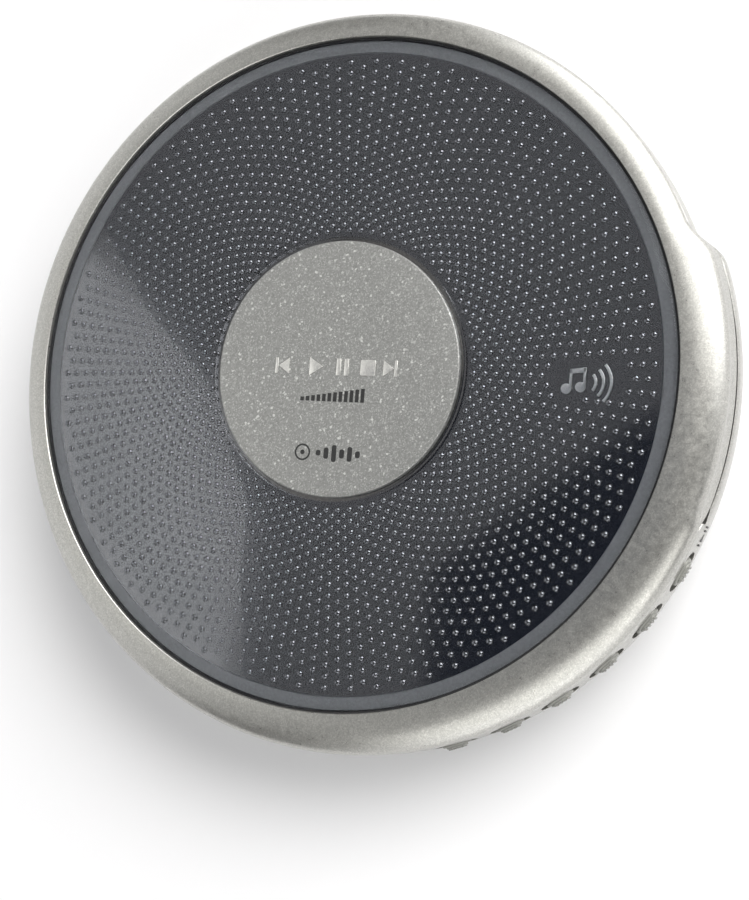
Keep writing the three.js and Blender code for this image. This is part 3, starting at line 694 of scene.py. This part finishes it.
def make_window_mark():
    """A plain raised pair of notes with sound waves, under the window."""
    heads = [circle(0.85, -3.6, -1.35), circle(0.85, -1.2, -1.0)]
    stems = [rectangle(-3.1, -2.7, -1.3, 1.9), rectangle(-0.75, -0.35, -1.0, 2.25)]
    beam = [(-3.1, 1.2), (-0.35, 1.55), (-0.35, 2.3), (-3.1, 1.95)]
    waves = [ring_part(-0.6, -0.2, r, 0.45, -42, 42) for r in (2.2, 3.5, 4.8)]
    flat_marks("window_pictogram", [*heads, *stems, beam, *waves], upright(*EMBLEM), FILM_TOP - 0.02,
               GLASS_Z - 0.03, FINISHES["mark_paint"], "lid", 0.06)


def make_badge_marks():
    """Plain signs on the badge: raised transport signs, and two printed rows below."""
    back = [[(-11.0, 0.2), (-9.0, 1.6), (-9.0, -1.2)], rectangle(-11.7, -11.2, -1.2, 1.6)]
    play = [(-5.0, -1.4), (-2.4, 0.2), (-5.0, 1.8)]
    pause = [rectangle(0.2, 1.0, -1.3, 1.7), rectangle(1.7, 2.5, -1.3, 1.7)]
    stop = rounded(4.8, 7.6, -1.2, 1.6, 0.3)
    ahead = [[(9.1, -1.2), (11.1, 0.2), (9.1, 1.6)], rectangle(11.2, 11.7, -1.2, 1.6)]
    flat_marks("badge_raised_marks", [*back, play, *pause, stop, *ahead], upright(),
               BADGE_TOP - 0.02, LID_TOP, FINISHES["mark_paint"], "lid", 0.04)
    levels = [rectangle(-6.3 + 1.05 * i, -5.6 + 1.05 * i, -6.0, -5.3 + 0.16 * i)
              for i in range(12)]
    flat_marks("badge_printed_levels", levels, upright(), BADGE_TOP - 0.02, BADGE_TOP + 0.012,
               INK, "lid")
    disc = [ring_part(-5.0, -15.2, 1.5, 0.32, 0, 180), ring_part(-5.0, -15.2, 1.5, 0.32, 180, 360),
            circle(0.42, -5.0, -15.2)]
    bars = [rounded(-2.4 + 1.5 * i, -1.5 + 1.5 * i, -15.2 - h, -15.2 + h, 0.35)
            for i, h in enumerate((0.5, 1.0, 1.5, 0.8, 1.3, 0.6))]
    flat_marks("badge_printed_disc", disc + bars, upright(), BADGE_TOP - 0.02,
               BADGE_TOP + 0.012, INK, "lid")


def ring_part(x, y, radius, width, start, end):
    """A stretch of a flat ring, anticlockwise."""
    steps = 28
    inner = radius - width
    return (arc(x, y, radius, radius, start, end, steps)
            + arc(x, y, inner, inner, end, start, steps))


# ---- Case and keys --------------------------------------------------------------------------


def case_profile(angle):
    """Curved underside, flared side band and hollow inside of the case."""
    r = outline(angle)
    top = skirt_z(angle) - 0.3
    foot = FOOT_H
    side = [(r - 3.0, foot + 0.8), (r - 1.6, foot + 2.0), (r - 0.75, foot + 3.6),
            (r - 0.15, foot + 5.4), (r + 0.25, foot + 7.2), (r + 0.43, foot + 8.9),
            (r + FLARE, foot + 9.9), (r + 0.42, foot + 11.2), (r + 0.3, foot + 12.6)]
    side = [(x, min(z, top - 0.2)) for x, z in side]
    return [
        (0, foot), (r - 9.0, foot), (r - 6.8, foot + 0.02), (r - 5.6, foot + 0.14),
        (r - 4.4, foot + 0.38), *side,
        (r + 0.04, top - 0.12), (r - 0.1, top),
        (r - 1.5, top), (r - 1.2, 10.5), (r - 2.6, 5.0), (r - 6.5, 2.4), (0, 2.4),
    ]


def hinge_recess():
    """The space round the hinge axis that the lid's skirt turns through."""
    rows, sides = 25, 27
    verts = []
    for row in range(rows):
        y = HINGE_HALF * (2 * row / (rows - 1) - 1)
        edge = BULGE[0] + math.sqrt(BULGE_R ** 2 - (y - BULGE[1]) ** 2)
        sweep = math.hypot(max(edge - HINGE_X, 0), HINGE_Z - HINGE_SKIRT_Z) + 0.22
        reach = math.acos(max(-(KNUCKLE_R + 0.2) / sweep, -1.0))
        for i in range(sides):
            turn = reach * (2 * i / (sides - 1) - 1)
            verts.append(upright() @ Vector((HINGE_X + sweep * math.cos(turn), y,
                                             HINGE_Z + sweep * math.sin(turn))))
    return piece("cut", verts, capped(rows, sides), INK)


def cutter(flat, z0, z1, place=None):
    """A prism to cut with."""
    return prism("cut", flat, z0, z1, INK, place)


def block(angle, r0, r1, x0, x1, y0, y1, finish, name="cut", steps=6):
    """A block in the side wall that follows its curve: x along the wall, y above the slides."""
    def section(turn):
        r = outline(turn)
        return [(r + r0, SLIDE_Z + y0), (r + r1, SLIDE_Z + y0), (r + r1, SLIDE_Z + y1),
                (r + r0, SLIDE_Z + y1)]
    per_mm = 1 / (LID_R * DEG)
    return swept(name, section, angle + x0 * per_mm, angle + x1 * per_mm, finish, steps)


def make_case():
    """Case shell with the recesses of the keys, sockets, slides, battery door and screws."""
    shell = around("case", case_profile, SILVER, 360)
    cutters = [cutter(stadium(7.6, 3.9, 12), 60, 72, in_wall(angle, KEY_Z))
               for angle in KEY_ANGLES]
    cutters += [cutter(circle(collar + 0.3), 60, 70, in_wall(angle, JACK_Z))
                for angle, _, collar in JACKS.values()]
    cutters.append(cutter(rounded(*BAY, 0.6), 0, 3.4))
    for angle, half, travel in SLIDES.values():
        cutters.append(block(angle, -0.45, 3, -half - 0.3, half + travel + 0.3, -1.7, 1.7, INK))
        cutters.append(block(angle, -6, 3, -2.1, 2.1 + travel, -1.0, 1.0, INK))
    for i in SCREWS:
        x, y = spot(f"case_screw_{i}")
        cutters.append(cutter(circle(2.3), 0, 1.6, upright(x, y)))
        cutters.append(cutter(circle(1.2), 1, 4, upright(x, y)))
    subtract(shell, hinge_recess())
    subtract(shell, *cutters)
    stands_for(shell, "case", "case_shell")
    make_base_details()
    make_sockets()
    make_slides()


def spot(node):
    """Middle of a node, in millimetres about the disc axis."""
    x, y, _ = centre_of(node)
    return x - AXIS[0], y - AXIS[1]


def make_base_details():
    """Rubber feet, cross-head screws and the battery door with its finger ribs."""
    for i in FEET:
        foot = turned(f"foot_pad_{i}", [
            (0, 0), (2.1, 0), (2.35, 0.08), (2.75, 0.25), (2.97, 0.5), (3.0, FOOT_H), (0, FOOT_H),
        ], RUBBER, 64, upright(*spot(f"foot_{i}")))
        stands_for(foot, "case", f"foot_{i}")
    for i in SCREWS:
        x, y = spot(f"case_screw_{i}")
        screw = turned(f"screw_{i}", [
            (0, 0.97), (1.0, 0.99), (1.6, 1.08), (1.9, 1.25), (2.0, 1.45), (1.95, 1.6),
            (0.85, 1.6), (0.85, 7.6), (0.5, 8.0), (0, 8.0),
        ], STEEL, 64, upright(x, y))
        arms = [cutter(rectangle(-1.15, 1.15, -0.22, 0.22), 0, 1.32, upright(x, y)),
                cutter(rectangle(-0.22, 0.22, -1.15, 1.15), 0, 1.32, upright(x, y))]
        subtract(screw, *arms)
        stands_for(screw, "case", f"case_screw_{i}")
    under = upright() @ Matrix.Scale(-1, 4, (0, 0, 1))
    x0, x1, y0, y1 = BAY
    plate = prism("plate", rounded(x0 + 0.3, x1 - 0.3, y0 + 0.3, y1 - 0.45, 0.5), -2.2, -FOOT_H,
                  SILVER, under, 0.25)
    ribs = [prism("rib", stadium(12, 0.9, 6), -1.3, -0.25, SILVER,
                  under @ Matrix.Translation((0, y0 + 3.5 + 2 * i, 0)), 0.3) for i in range(4)]
    arrow = prism("rib", [(-1.6, y0 + 12.6), (0, y0 + 15), (1.6, y0 + 12.6)], -1.3, -0.7,
                  SILVER, under, 0.1)
    stands_for(joined("battery_cover", [plate, *ribs, arrow]), "battery_door", "battery_door")


def make_sockets():
    """Sockets in the wall: a chamfered collar round a stepped bore, with a brass contact."""
    for name, (angle, bore, collar) in JACKS.items():
        face = outline(angle)
        place = in_wall(angle, JACK_Z)
        ring = turned("collar", [
            (bore, face - 12.0), (bore + 1.2, face - 12.0), (bore + 1.2, face - 4.2),
            (collar, face - 4.0), (collar, face - 0.7), (collar - 0.25, face - 0.42),
            (bore + 0.35, face - 0.42), (bore, face - 0.8), (bore, face - 6.0),
            (bore - 0.12, face - 6.2), (bore - 0.12, face - 11.0),
        ], DARK, 72, place)
        stands_for(ring, "case", name)
        contact = turned(f"{name}_contact", [
            (bore - 0.12, face - 5.0), (bore - 0.02, face - 5.0), (bore - 0.02, face - 3.0),
            (bore - 0.12, face - 3.0),
        ], FINISHES["brass"], 48, place)
        extra(contact, "case")
        if name == "power_socket":
            pin = turned("power_socket_pin", [
                (0, face - 11.5), (0.5, face - 11.5), (0.5, face - 2.0), (0.3, face - 1.6),
                (0, face - 1.5),
            ], STEEL, 32, place)
            extra(pin, "case")


def make_slides():
    """Ribbed knobs that slide in pockets of the wall."""
    keys = FINISHES["key_plastic"]
    for name, (angle, half, _) in SLIDES.items():
        parts = [block(angle, -0.3, 0.1, -half, half, -1.4, 1.4, keys, "knob", 16),
                 block(angle, 0.08, 0.22, -half + 0.15, half - 0.15, -1.25, 1.25, keys, "knob", 16),
                 block(angle, -2.2, -0.2, -1.8, 1.8, -0.7, 0.7, keys, "stem", 4),
                 block(angle, -2.6, -2.0, -2.8, 2.8, -1.3, 1.3, keys, "plate", 4)]
        ribs = round((2 * half - 1.2) / 0.9)
        for i in range(ribs + 1):
            x = (i - ribs / 2) * 0.9
            parts.append(block(angle, 0.2, 0.40, x - 0.2, x + 0.2, -1.1, 1.1, keys, "rib", 1))
        if name == "open_slider":
            parts.append(block(angle, -2.6, -2.0, 0.3, 2.4, 0, 3.4, keys, "finger", 2))
        stands_for(joined(f"{name}_knob", parts), name, name)


# ---- Inside: tray, hinge, liner and drive ----------------------------------------------------


def tray_profile(angle):
    """Disc well with a flange outside it and two raised rings on its floor."""
    edge = outline(angle) - 1.8
    well = WELL_R
    return [
        (0, TRAY_Z), (well + 1, TRAY_Z), (well + 1, FLANGE_Z), (edge, FLANGE_Z),
        (edge, FLANGE_TOP - 0.12), (edge - 0.12, FLANGE_TOP), (well + 0.4, FLANGE_TOP),
        *arc(well + 0.4, FLANGE_TOP - 0.4, 0.4, 0.4, 90, 180, 5)[1:],
        *arc(well - 1.0, TRAY_TOP + 1.0, 1.0, 1.0, 0, -90, 6),
        (57.6, TRAY_TOP), (57.3, TRAY_TOP + 0.3), (56.7, TRAY_TOP + 0.3), (56.4, TRAY_TOP),
        (20.8, TRAY_TOP), (20.5, TRAY_TOP + 0.25), (19.7, TRAY_TOP + 0.25), (19.4, TRAY_TOP),
        (0, TRAY_TOP),
    ]


def make_tray():
    """Disc tray with its opening, the trough of the lid's skirt, hinge ears and screws."""
    tray = around("tray", tray_profile, DARK, 360)
    opening = rounded(-17, 17, -54, 16, 2.0)
    cutters = [cutter(opening, TRAY_Z - 1, TRAY_TOP + 1),
               cutter(rounded(-4.2, 4.2, -60.3, -52, 0.8), TRAY_Z - 1, TRAY_TOP + 1),
               cutter(rectangle(-64.6, -62.15, -0.4, 2.4), FLANGE_Z - 1, FLANGE_TOP + 1),
               cutter(circle(0.75), 0, 30, upright(*spot("lid_switch")))]
    subtract(tray, hinge_recess())
    subtract(tray, *cutters)
    stands_for(tray, "case", "disc_tray")
    lip = ring_of(opening, 1.0, TRAY_TOP - 0.05, TRAY_TOP + 0.35, DARK)
    extra(lip, "case")
    trough = swept("tray_trough", lambda angle: [
        (WELL_R + 0.9, 10.2), (outline(angle) - 1.95, 10.2), (outline(angle) - 1.95, FLANGE_Z),
        (WELL_R + 0.9, FLANGE_Z)], -19.5, 19.5, DARK, 40)
    subtract(trough, hinge_recess())
    extra(trough, "case")
    lug = [(62.6, HINGE_Z - KNUCKLE_R),
           *arc(HINGE_X, HINGE_Z, KNUCKLE_R, KNUCKLE_R, -90, 143, 18), (62.6, HINGE_Z + 0.9)]
    ears = [hinge_lug("ear", lug, side, 4, 8) for side in (-1, 1)]
    extra(joined("hinge_ears", ears), "case")
    bosses = [turned("boss", [(1.0, 2.45), (2.2, 2.45), (2.2, TRAY_Z + 0.05),
                              (1.0, TRAY_Z + 0.05)], DARK, 48, upright(*spot(f"case_screw_{i}")))
              for i in SCREWS]
    extra(joined("screw_bosses", bosses), "case")
    screws = []
    for x, y in ((23, -38), (-23, -38), (23, 8), (-23, 8)):
        screws.append(turned("screw", [
            (0, TRAY_TOP - 0.1), (1.7, TRAY_TOP - 0.1), (1.7, TRAY_TOP + 0.2),
            (1.3, TRAY_TOP + 0.42), (0.55, TRAY_TOP + 0.45), (0.5, TRAY_TOP + 0.2),
            (0, TRAY_TOP + 0.2)], STEEL, 40, upright(x, y)))
    extra(joined("tray_screws", screws), "case")


def hinge_lug(name, flat, side, near, far):
    """A lug on one side of the hinge's middle, bored for the pin."""
    lug = bar(name, flat, *sorted((near * side, far * side)), DARK)
    subtract(lug, rod("cut", HINGE_X, HINGE_Z, 0.8, -20, 20, INK))
    return lug


def ring_of(flat, width, z0, z1, finish):
    """A raised lip round an opening, with a sloping outer side."""
    outer = [tuple(p) for p in inset(flat, -width)]
    slope = [tuple(p) for p in inset(flat, -width + 0.3)]
    rows = [(flat, z0), (flat, z1), (slope, z1), (outer, z0)]
    verts = [upright() @ Vector((x, y, z)) for row, z in rows for x, y in row]
    return piece("opening_lip", verts, bands(len(rows), len(flat), True), finish)


def make_hinge():
    """Hinge pin with its coil spring, and the plunger that senses the closed lid."""
    pin = rod("hinge_rod", HINGE_X, HINGE_Z, 0.68, -12.4, 12.4, STEEL, 0.15)
    stands_for(pin, "case", "hinge_pin")
    turns, per_turn = 5, 28
    coil = []
    for i in range(turns * per_turn + 1):
        t = i / (turns * per_turn)
        turn = t * turns * 2 * math.pi
        coil.append((HINGE_X + 1.15 * math.cos(turn), -3.2 + 6.4 * t,
                     HINGE_Z + 1.15 * math.sin(turn)))
    stands_for(tube("hinge_spring", coil, 0.2, STEEL), "case", "lid_spring")
    plunger = turned("switch_plunger", [
        (0, 10.2), (1.0, 10.2), (1.0, 11.0), (0.6, 11.0), (0.6, LINER_Z - 0.5),
        (0.42, LINER_Z - 0.34), (0, LINER_Z - 0.3)], FINISHES["white_plastic"], 40,
        upright(*spot("lid_switch")))
    stands_for(plunger, "lid_switch", "lid_switch")


def liner_profile(angle):
    """Inner skin of the lid, with the ribs that press on the disc."""
    edge = outline(angle) - 1.3 - 0.3
    low = LINER_Z
    return [
        (0, low), (8.6, low), (9.0, low - 0.2), (10.2, low - 0.2), (10.6, low), (14.4, low),
        (14.8, low - 0.2), (16.0, low - 0.2), (16.4, low), (26.0, low), (26.3, low + 0.25),
        (27.3, low + 0.25), (27.6, low), (57.0, low), (57.3, low + 0.25), (58.3, low + 0.25),
        (58.6, low), (edge - 0.1, low), (edge, low + 0.1), (edge, LINER_TOP), (0, LINER_TOP),
    ]


def make_liner():
    """Inner skin of the lid with its hook, hinge knuckles and rubber pads."""
    liner = around("liner", liner_profile, DARK, 360)
    stands_for(liner, "lid", "lid_liner")
    hook = [(-63.2, LINER_Z + 0.2), (-63.2, HOOK_Z + 0.9), (-63.6, HOOK_Z + 0.8),
            (-63.6, HOOK_Z + 0.45), (-62.9, HOOK_Z), (-62.4, HOOK_Z), (-62.4, LINER_Z + 0.2)]
    parts = [bar("hook", hook, 0, 2, DARK)]
    lug = [(HINGE_X + 1.1, LINER_Z + 0.2), (HINGE_X - KNUCKLE_R, LINER_Z + 0.2),
           *arc(HINGE_X, HINGE_Z, KNUCKLE_R, KNUCKLE_R, 180, 403, 18)]
    parts += [hinge_lug("knuckle", lug, side, 8.3, 12.3) for side in (-1, 1)]
    extra(joined("lid_hook_and_knuckles", parts), "lid")
    pads = [turned("pad", [(0, LINER_Z + 0.05), (1.6, LINER_Z + 0.05), (1.6, LINER_Z - 0.1),
                           (1.3, LINER_Z - 0.18), (0, LINER_Z - 0.2)], RUBBER, 32,
                   upright(61.8 * math.cos(a * DEG), 61.8 * math.sin(a * DEG)))
            for a in (60, 120, 240, 300)]
    extra(joined("liner_pads", pads), "lid")


def make_drive():
    """Turntable, spindle motor, guide rods, feed screw and pickup."""
    hub = turned("hub", [
        (0.8, 12.9), (13.2, 12.9), (13.5, 13.1), (13.5, 13.85), (13.35, 14.0), (11.9, 14.0),
        (11.8, 13.9), (8.2, 13.9), (8.1, 14.0), (7.5, 14.0), (7.3, 14.2), (7.3, 15.5),
        (7.0, 15.8), (6.2, 16.35), (5.9, 16.4), (2.2, 16.4), (2.0, 16.2), (0, 16.2), (0, 13.5),
        (0.8, 13.5),
    ], DARK, 120)
    grip = turned("grip", [(8.3, 13.86), (11.7, 13.86), (11.7, 13.97), (8.3, 13.97)],
                  RUBBER, 96)
    claws = [block_on_hub(angle) for angle in (90, 210, 330)]
    stands_for(joined("turntable_hub", [hub, *claws]), "turntable", "turntable")
    extra(grip, "turntable")
    shaft = turned("shaft", [(0, 4.2), (0.75, 4.2), (0.75, 13.4), (0, 13.4)], STEEL, 32)
    stands_for(shaft, "turntable", "spindle_shaft")
    motor = turned("motor_can", [
        (1.1, 4.4), (MOTOR_R - 1.2, 4.4), (MOTOR_R - 0.4, 4.7), (MOTOR_R, 5.5), (MOTOR_R, 9.8),
        (1.1, 9.8)], STEEL, 120)
    stands_for(motor, "case", "spindle_motor")
    for name in ("left", "right"):
        x, z = centre_of(f"guide_rod_{name}")[0] - AXIS[0], centre_of(f"guide_rod_{name}")[2]
        low, high = (v[1] - AXIS[1] for v in node_box(f"guide_rod_{name}"))
        guide = rod(f"rod_{name}", x, z, 0.99, low, high, STEEL, 0.15)
        stands_for(guide, "case", f"guide_rod_{name}")
    x, _, z = centre_of("lead_screw")
    low, high = (v[1] - AXIS[1] for v in node_box("lead_screw"))
    x -= AXIS[0]
    core = rod("core", x, z, 0.8, low, high, STEEL, 0.1)
    pitch, per_turn = 3.0, 20
    first, last = low + 2.0, high - 3.2
    count = round((last - first) / pitch * per_turn)
    spiral = [(x + 0.85 * math.cos(i * 2 * math.pi / per_turn), first + i * pitch / per_turn,
               z + 0.85 * math.sin(i * 2 * math.pi / per_turn)) for i in range(count + 1)]
    thread = tube("thread", spiral, 0.24, STEEL, 6)
    stands_for(joined("screw_spindle", [core, thread]), "feed_screw", "lead_screw")
    make_pickup()


def block_on_hub(angle):
    """One of the three sprung claws that hold the disc."""
    claw = [(6.4, 14.7), (7.3, 14.7), (7.66, 15.05), (7.66, 15.35), (7.2, 15.75), (6.4, 15.75)]
    return swept("claw", lambda turn: claw, angle - 8, angle + 8, DARK, 6)


def make_pickup():
    """Pickup sled with its cover, the sprung lens holder and the lens."""
    x, y = spot("objective_lens")
    body = prism("body", rounded(-15.5, 15.5, y - 3.6, y + 6.5, 1.2), 5.2, 9.28, DARK, None, 0.35)
    nut = prism("nut", rounded(14.6, 17.1, y - 2, y + 2, 0.4), 5.2, 7.2, DARK, None, 0.2)
    bores = [rod("cut", side * 13.0, 7.2, 1.08, -60, 0, INK) for side in (-1, 1)]
    bores.append(cutter(circle(2.6), 6.4, 12, upright(x, y)))
    subtract(body, *bores)
    stands_for(joined("sled_body", [body, nut]), "sled", "pickup_sled")
    cover = prism("cover", rounded(-9.5, -4.2, y - 2.8, y + 5.6, 0.5), 9.25, 9.5,
                  STEEL, None, 0.06)
    extra(cover, "sled")
    magnet = prism("lens_magnet", rounded(4.4, 6.4, y - 2.6, y + 2.6, 0.25), 9.25, 11.2,
                   FINISHES["chip_plastic"], None, 0.1)
    extra(magnet, "sled")
    holder = turned("holder", [
        (1.2, 7.4), (2.2, 7.4), (2.2, 9.7), (2.8, 9.7), (3.0, 9.9), (3.0, 11.85), (2.75, 12.1),
        (2.1, 12.1), (2.0, 12.0), (2.0, 11.5), (1.2, 11.5)], DARK, 72, upright(x, y))
    stands_for(holder, "lens", "lens_holder")
    lens = turned("lens", [
        (0, 11.5), (1.92, 11.5), (1.95, 11.75), *arc(0, 11.35, 1.8, 0.9, 20, 90, 10)],
        FINISHES["lens_glass"], 64, upright(x, y))
    stands_for(lens, "lens", "objective_lens")


def make_keys():
    """Ribbed keys in the oval recesses, and a plain printed sign on the wall beside them."""
    for i, angle in enumerate(KEY_ANGLES):
        r = outline(angle)
        place = in_wall(angle, KEY_Z)
        finish = FINISHES["key_plastic"]
        parts = [
            prism("flange", rectangle(-4.2, 4.2, -2.1, 2.1), r - 2.8, r - 1.95, finish, place),
            prism("base", stadium(5.3, 3.4, 12), r - 2.0, r + 0.5, finish, place, 0.3),
            prism("cap", stadium(4.0, 2.7, 12), r + 0.2, r + 0.85, finish, place, 0.25),
        ]
        for offset in (-1.2, -0.4, 0.4, 1.2):
            rib = rounded(offset - 0.22, offset + 0.22, -1.1, 1.1, 0.1)
            parts.append(prism("rib", rib, r + 0.6, r + 1.08, finish, place, 0.12))
        key = joined(f"key_cap_{i + 1}", parts)
        stands_for(key, f"key_{i + 1}", f"key_{i + 1}")
    r = outline(MARK_ANGLE)
    sign = [rectangle(-1.7, -1.35, -0.8, 0.8), [(-0.9, -0.8), (0.5, 0.0), (-0.9, 0.8)],
            rectangle(0.9, 1.25, -0.8, 0.8), rectangle(1.6, 1.95, -0.8, 0.8)]
    flat_marks("band_mark", sign, in_wall(MARK_ANGLE, KEY_Z - 0.9), r, r + 0.47, INK, "case")


# ---- Stage, lights and camera ---------------------------------------------------------------


FLOOR_HALF = 3000.0


def floor_paper():
    """Matt white paper, very slightly uneven."""
    finish = Finish("floor")
    base = (0.86, 0.86, 0.87)
    tone = finish.noise(3, 3)
    finish.colour(finish.ramp(tone, [(0.3, shade(base, 0.985)), (0.7, shade(base, 1.01))]))
    finish.roughness(finish.scaled(tone, 0.57, 0.63))
    return finish.material


def make_floor():
    corners = rectangle(-FLOOR_HALF, FLOOR_HALF, -FLOOR_HALF, FLOOR_HALF)
    piece("floor", [(x, y, 0) for x, y in corners], [(0, 1, 2, 3)], floor_paper())


CARD_H = 300.0  # height of the reflection cards above the lid
CARDS = {  # corners in millimetres about the disc axis, and brightness
    "card_light": ([(-300, 142), (-184, 32), (-163, -15), (-165, -140), (-300, -140)],
                   (1.35, 1.35, 1.31)),
    "card_dark": ([(-2, 31), (-82, -38), (-82, -110), (60, -110), (200, -40), (120, 31)],
                  (0.065, 0.075, 0.10)),
    "card_side": (rectangle(110, 700, -190, 40), (0.06, 0.06, 0.06)),
    "card_back": ([(95, 110), (300, 110), (300, 430), (70, 430)], (3.6, 3.6, 3.55)),
    "card_front": ([(-60, -300), (160, -225), (420, -200), (420, -620), (-60, -620)],
                   (2.1, 2.1, 2.05)),
}


def make_card(name, corners, glow):
    """A card over the lid that only shows in reflections."""
    material = bpy.data.materials.new(name)
    material.use_nodes = True
    tree = material.node_tree
    tree.nodes.clear()
    light = tree.nodes.new("ShaderNodeEmission")
    light.inputs["Color"].default_value = (*glow, 1.0)
    light.inputs["Strength"].default_value = 1.0
    out = tree.nodes.new("ShaderNodeOutputMaterial")
    tree.links.new(light.outputs[0], out.inputs[0])
    verts = [(AXIS[0] + x, AXIS[1] + y, LID_TOP + CARD_H) for x, y in corners]
    card = piece(name, verts, [tuple(range(len(verts)))], material)
    card.visible_camera = False
    card.visible_shadow = False
    card.visible_diffuse = False


WALL_PEAK = 4.0  # brightness of the brightest wall
WALLS = [(-180, 1.15), (-160, 1.2), (-145, 1.0), (-133, 0.15), (-116, 0.1), (-102, 0.6),
         (-88, 2.0), (-62, 2.3), (-48, 2.0), (-34, 0.15), (-4, 0.15), (8, 1.4), (18, 4.0),
         (76, 4.0), (90, 1.0), (100, 0.12), (122, 0.15), (138, 0.8), (155, 1.0), (180, 1.15)]
CEILING = 0.38  # brightness of the ceiling
CEILING_EDGE = (0.62, 0.82)  # Z of the directions where walls turn into ceiling
DARK_SIDE = (0.36, -0.12, 0.92)  # direction of the dark part of the studio
DARK_EDGE = (0.83, 0.92)  # cosines about that direction where the dark sets in


def make_world():
    """A plain round studio: walls by compass angle, an even ceiling and a dark camera side."""
    world = bpy.data.worlds.new("studio")
    world.use_nodes = True
    nodes = Nodes(world.node_tree)
    way = nodes.node("ShaderNodeTexCoord").outputs["Generated"]
    compass = nodes.node("ShaderNodeTexGradient", gradient_type="RADIAL")
    nodes.link(way, compass.inputs["Vector"])
    walls = nodes.ramp(compass.outputs["Fac"], [
        ((angle + 180) / 360, level / WALL_PEAK) for angle, level in WALLS])
    split = nodes.node("ShaderNodeSeparateXYZ")
    nodes.link(way, split.inputs[0])
    low = nodes.scaled(split.outputs["Z"], 1.0, 0.0, *CEILING_EDGE)
    room = nodes.blend(low, (CEILING / WALL_PEAK,) * 3, walls)
    towards = nodes.node("ShaderNodeVectorMath", operation="DOT_PRODUCT")
    towards.inputs[1].default_value = Vector(DARK_SIDE).normalized()
    nodes.link(way, towards.inputs[0])
    dark = nodes.scaled(towards.outputs["Value"], 0.0, 1.0, *DARK_EDGE)
    background = world.node_tree.nodes["Background"]
    background.inputs["Strength"].default_value = WALL_PEAK
    nodes.link(nodes.blend(dark, room, (0.02, 0.02, 0.022)), background.inputs["Color"])
    bpy.context.scene.world = world


LIGHTS = {  # place, target and size in metres, watts, colour
    "key_light": ((0.45, 0.54, 0.71), (0, 0, 0), 0.7, 5.8, (1.0, 0.98, 0.95)),
    "floor_light": ((0.7, -0.5, 0.5), (0.12, -0.12, 0), 0.5, 1.2, (1.0, 0.99, 0.96)),
}


def make_light(name, place, target, size, watts, colour):
    """A round area light."""
    data = bpy.data.lights.new(name, "AREA")
    data.shape = "DISK"
    data.size = size
    data.energy = watts
    data.color = colour
    light = bpy.data.objects.new(name, data)
    light.location = place
    light.rotation_mode = "QUATERNION"
    light.rotation_quaternion = (Vector(target) - Vector(place)).to_track_quat("-Z", "Y")
    bpy.context.scene.collection.objects.link(light)


CAMERA_PLACE = (98.5, -32.4, 230.0)  # about the disc axis, and above the lid
CAMERA_RIGHT = (0.9306, 0.0814, -0.3568)
CAMERA_BACK = (0.3627, -0.0735, 0.929)
FOCAL_LENGTH = 56.8


def make_camera():
    data = bpy.data.cameras.new("camera")
    data.sensor_width = 36.0
    data.lens = FOCAL_LENGTH
    data.clip_start = 0.01
    camera = bpy.data.objects.new("camera", data)
    right = Vector(CAMERA_RIGHT).normalized()
    back = Vector(CAMERA_BACK)
    back = (back - right * back.dot(right)).normalized()
    turn = Matrix((right, back.cross(right), back)).transposed()
    camera.rotation_mode = "QUATERNION"
    camera.rotation_quaternion = turn.to_quaternion()
    camera.location = Vector((*AXIS, LID_TOP)) * MM + Vector(CAMERA_PLACE) * MM
    bpy.context.scene.collection.objects.link(camera)
    bpy.context.scene.camera = camera


bpy.context.scene.view_settings.view_transform = "Standard"
make_camera()
dress_frame()
make_lid()
make_case()
make_keys()
make_tray()
make_hinge()
make_liner()
make_drive()
make_floor()
for name, (corners, glow) in CARDS.items():
    make_card(name, corners, glow)
make_world()
for name, settings in LIGHTS.items():
    make_light(name, *settings)
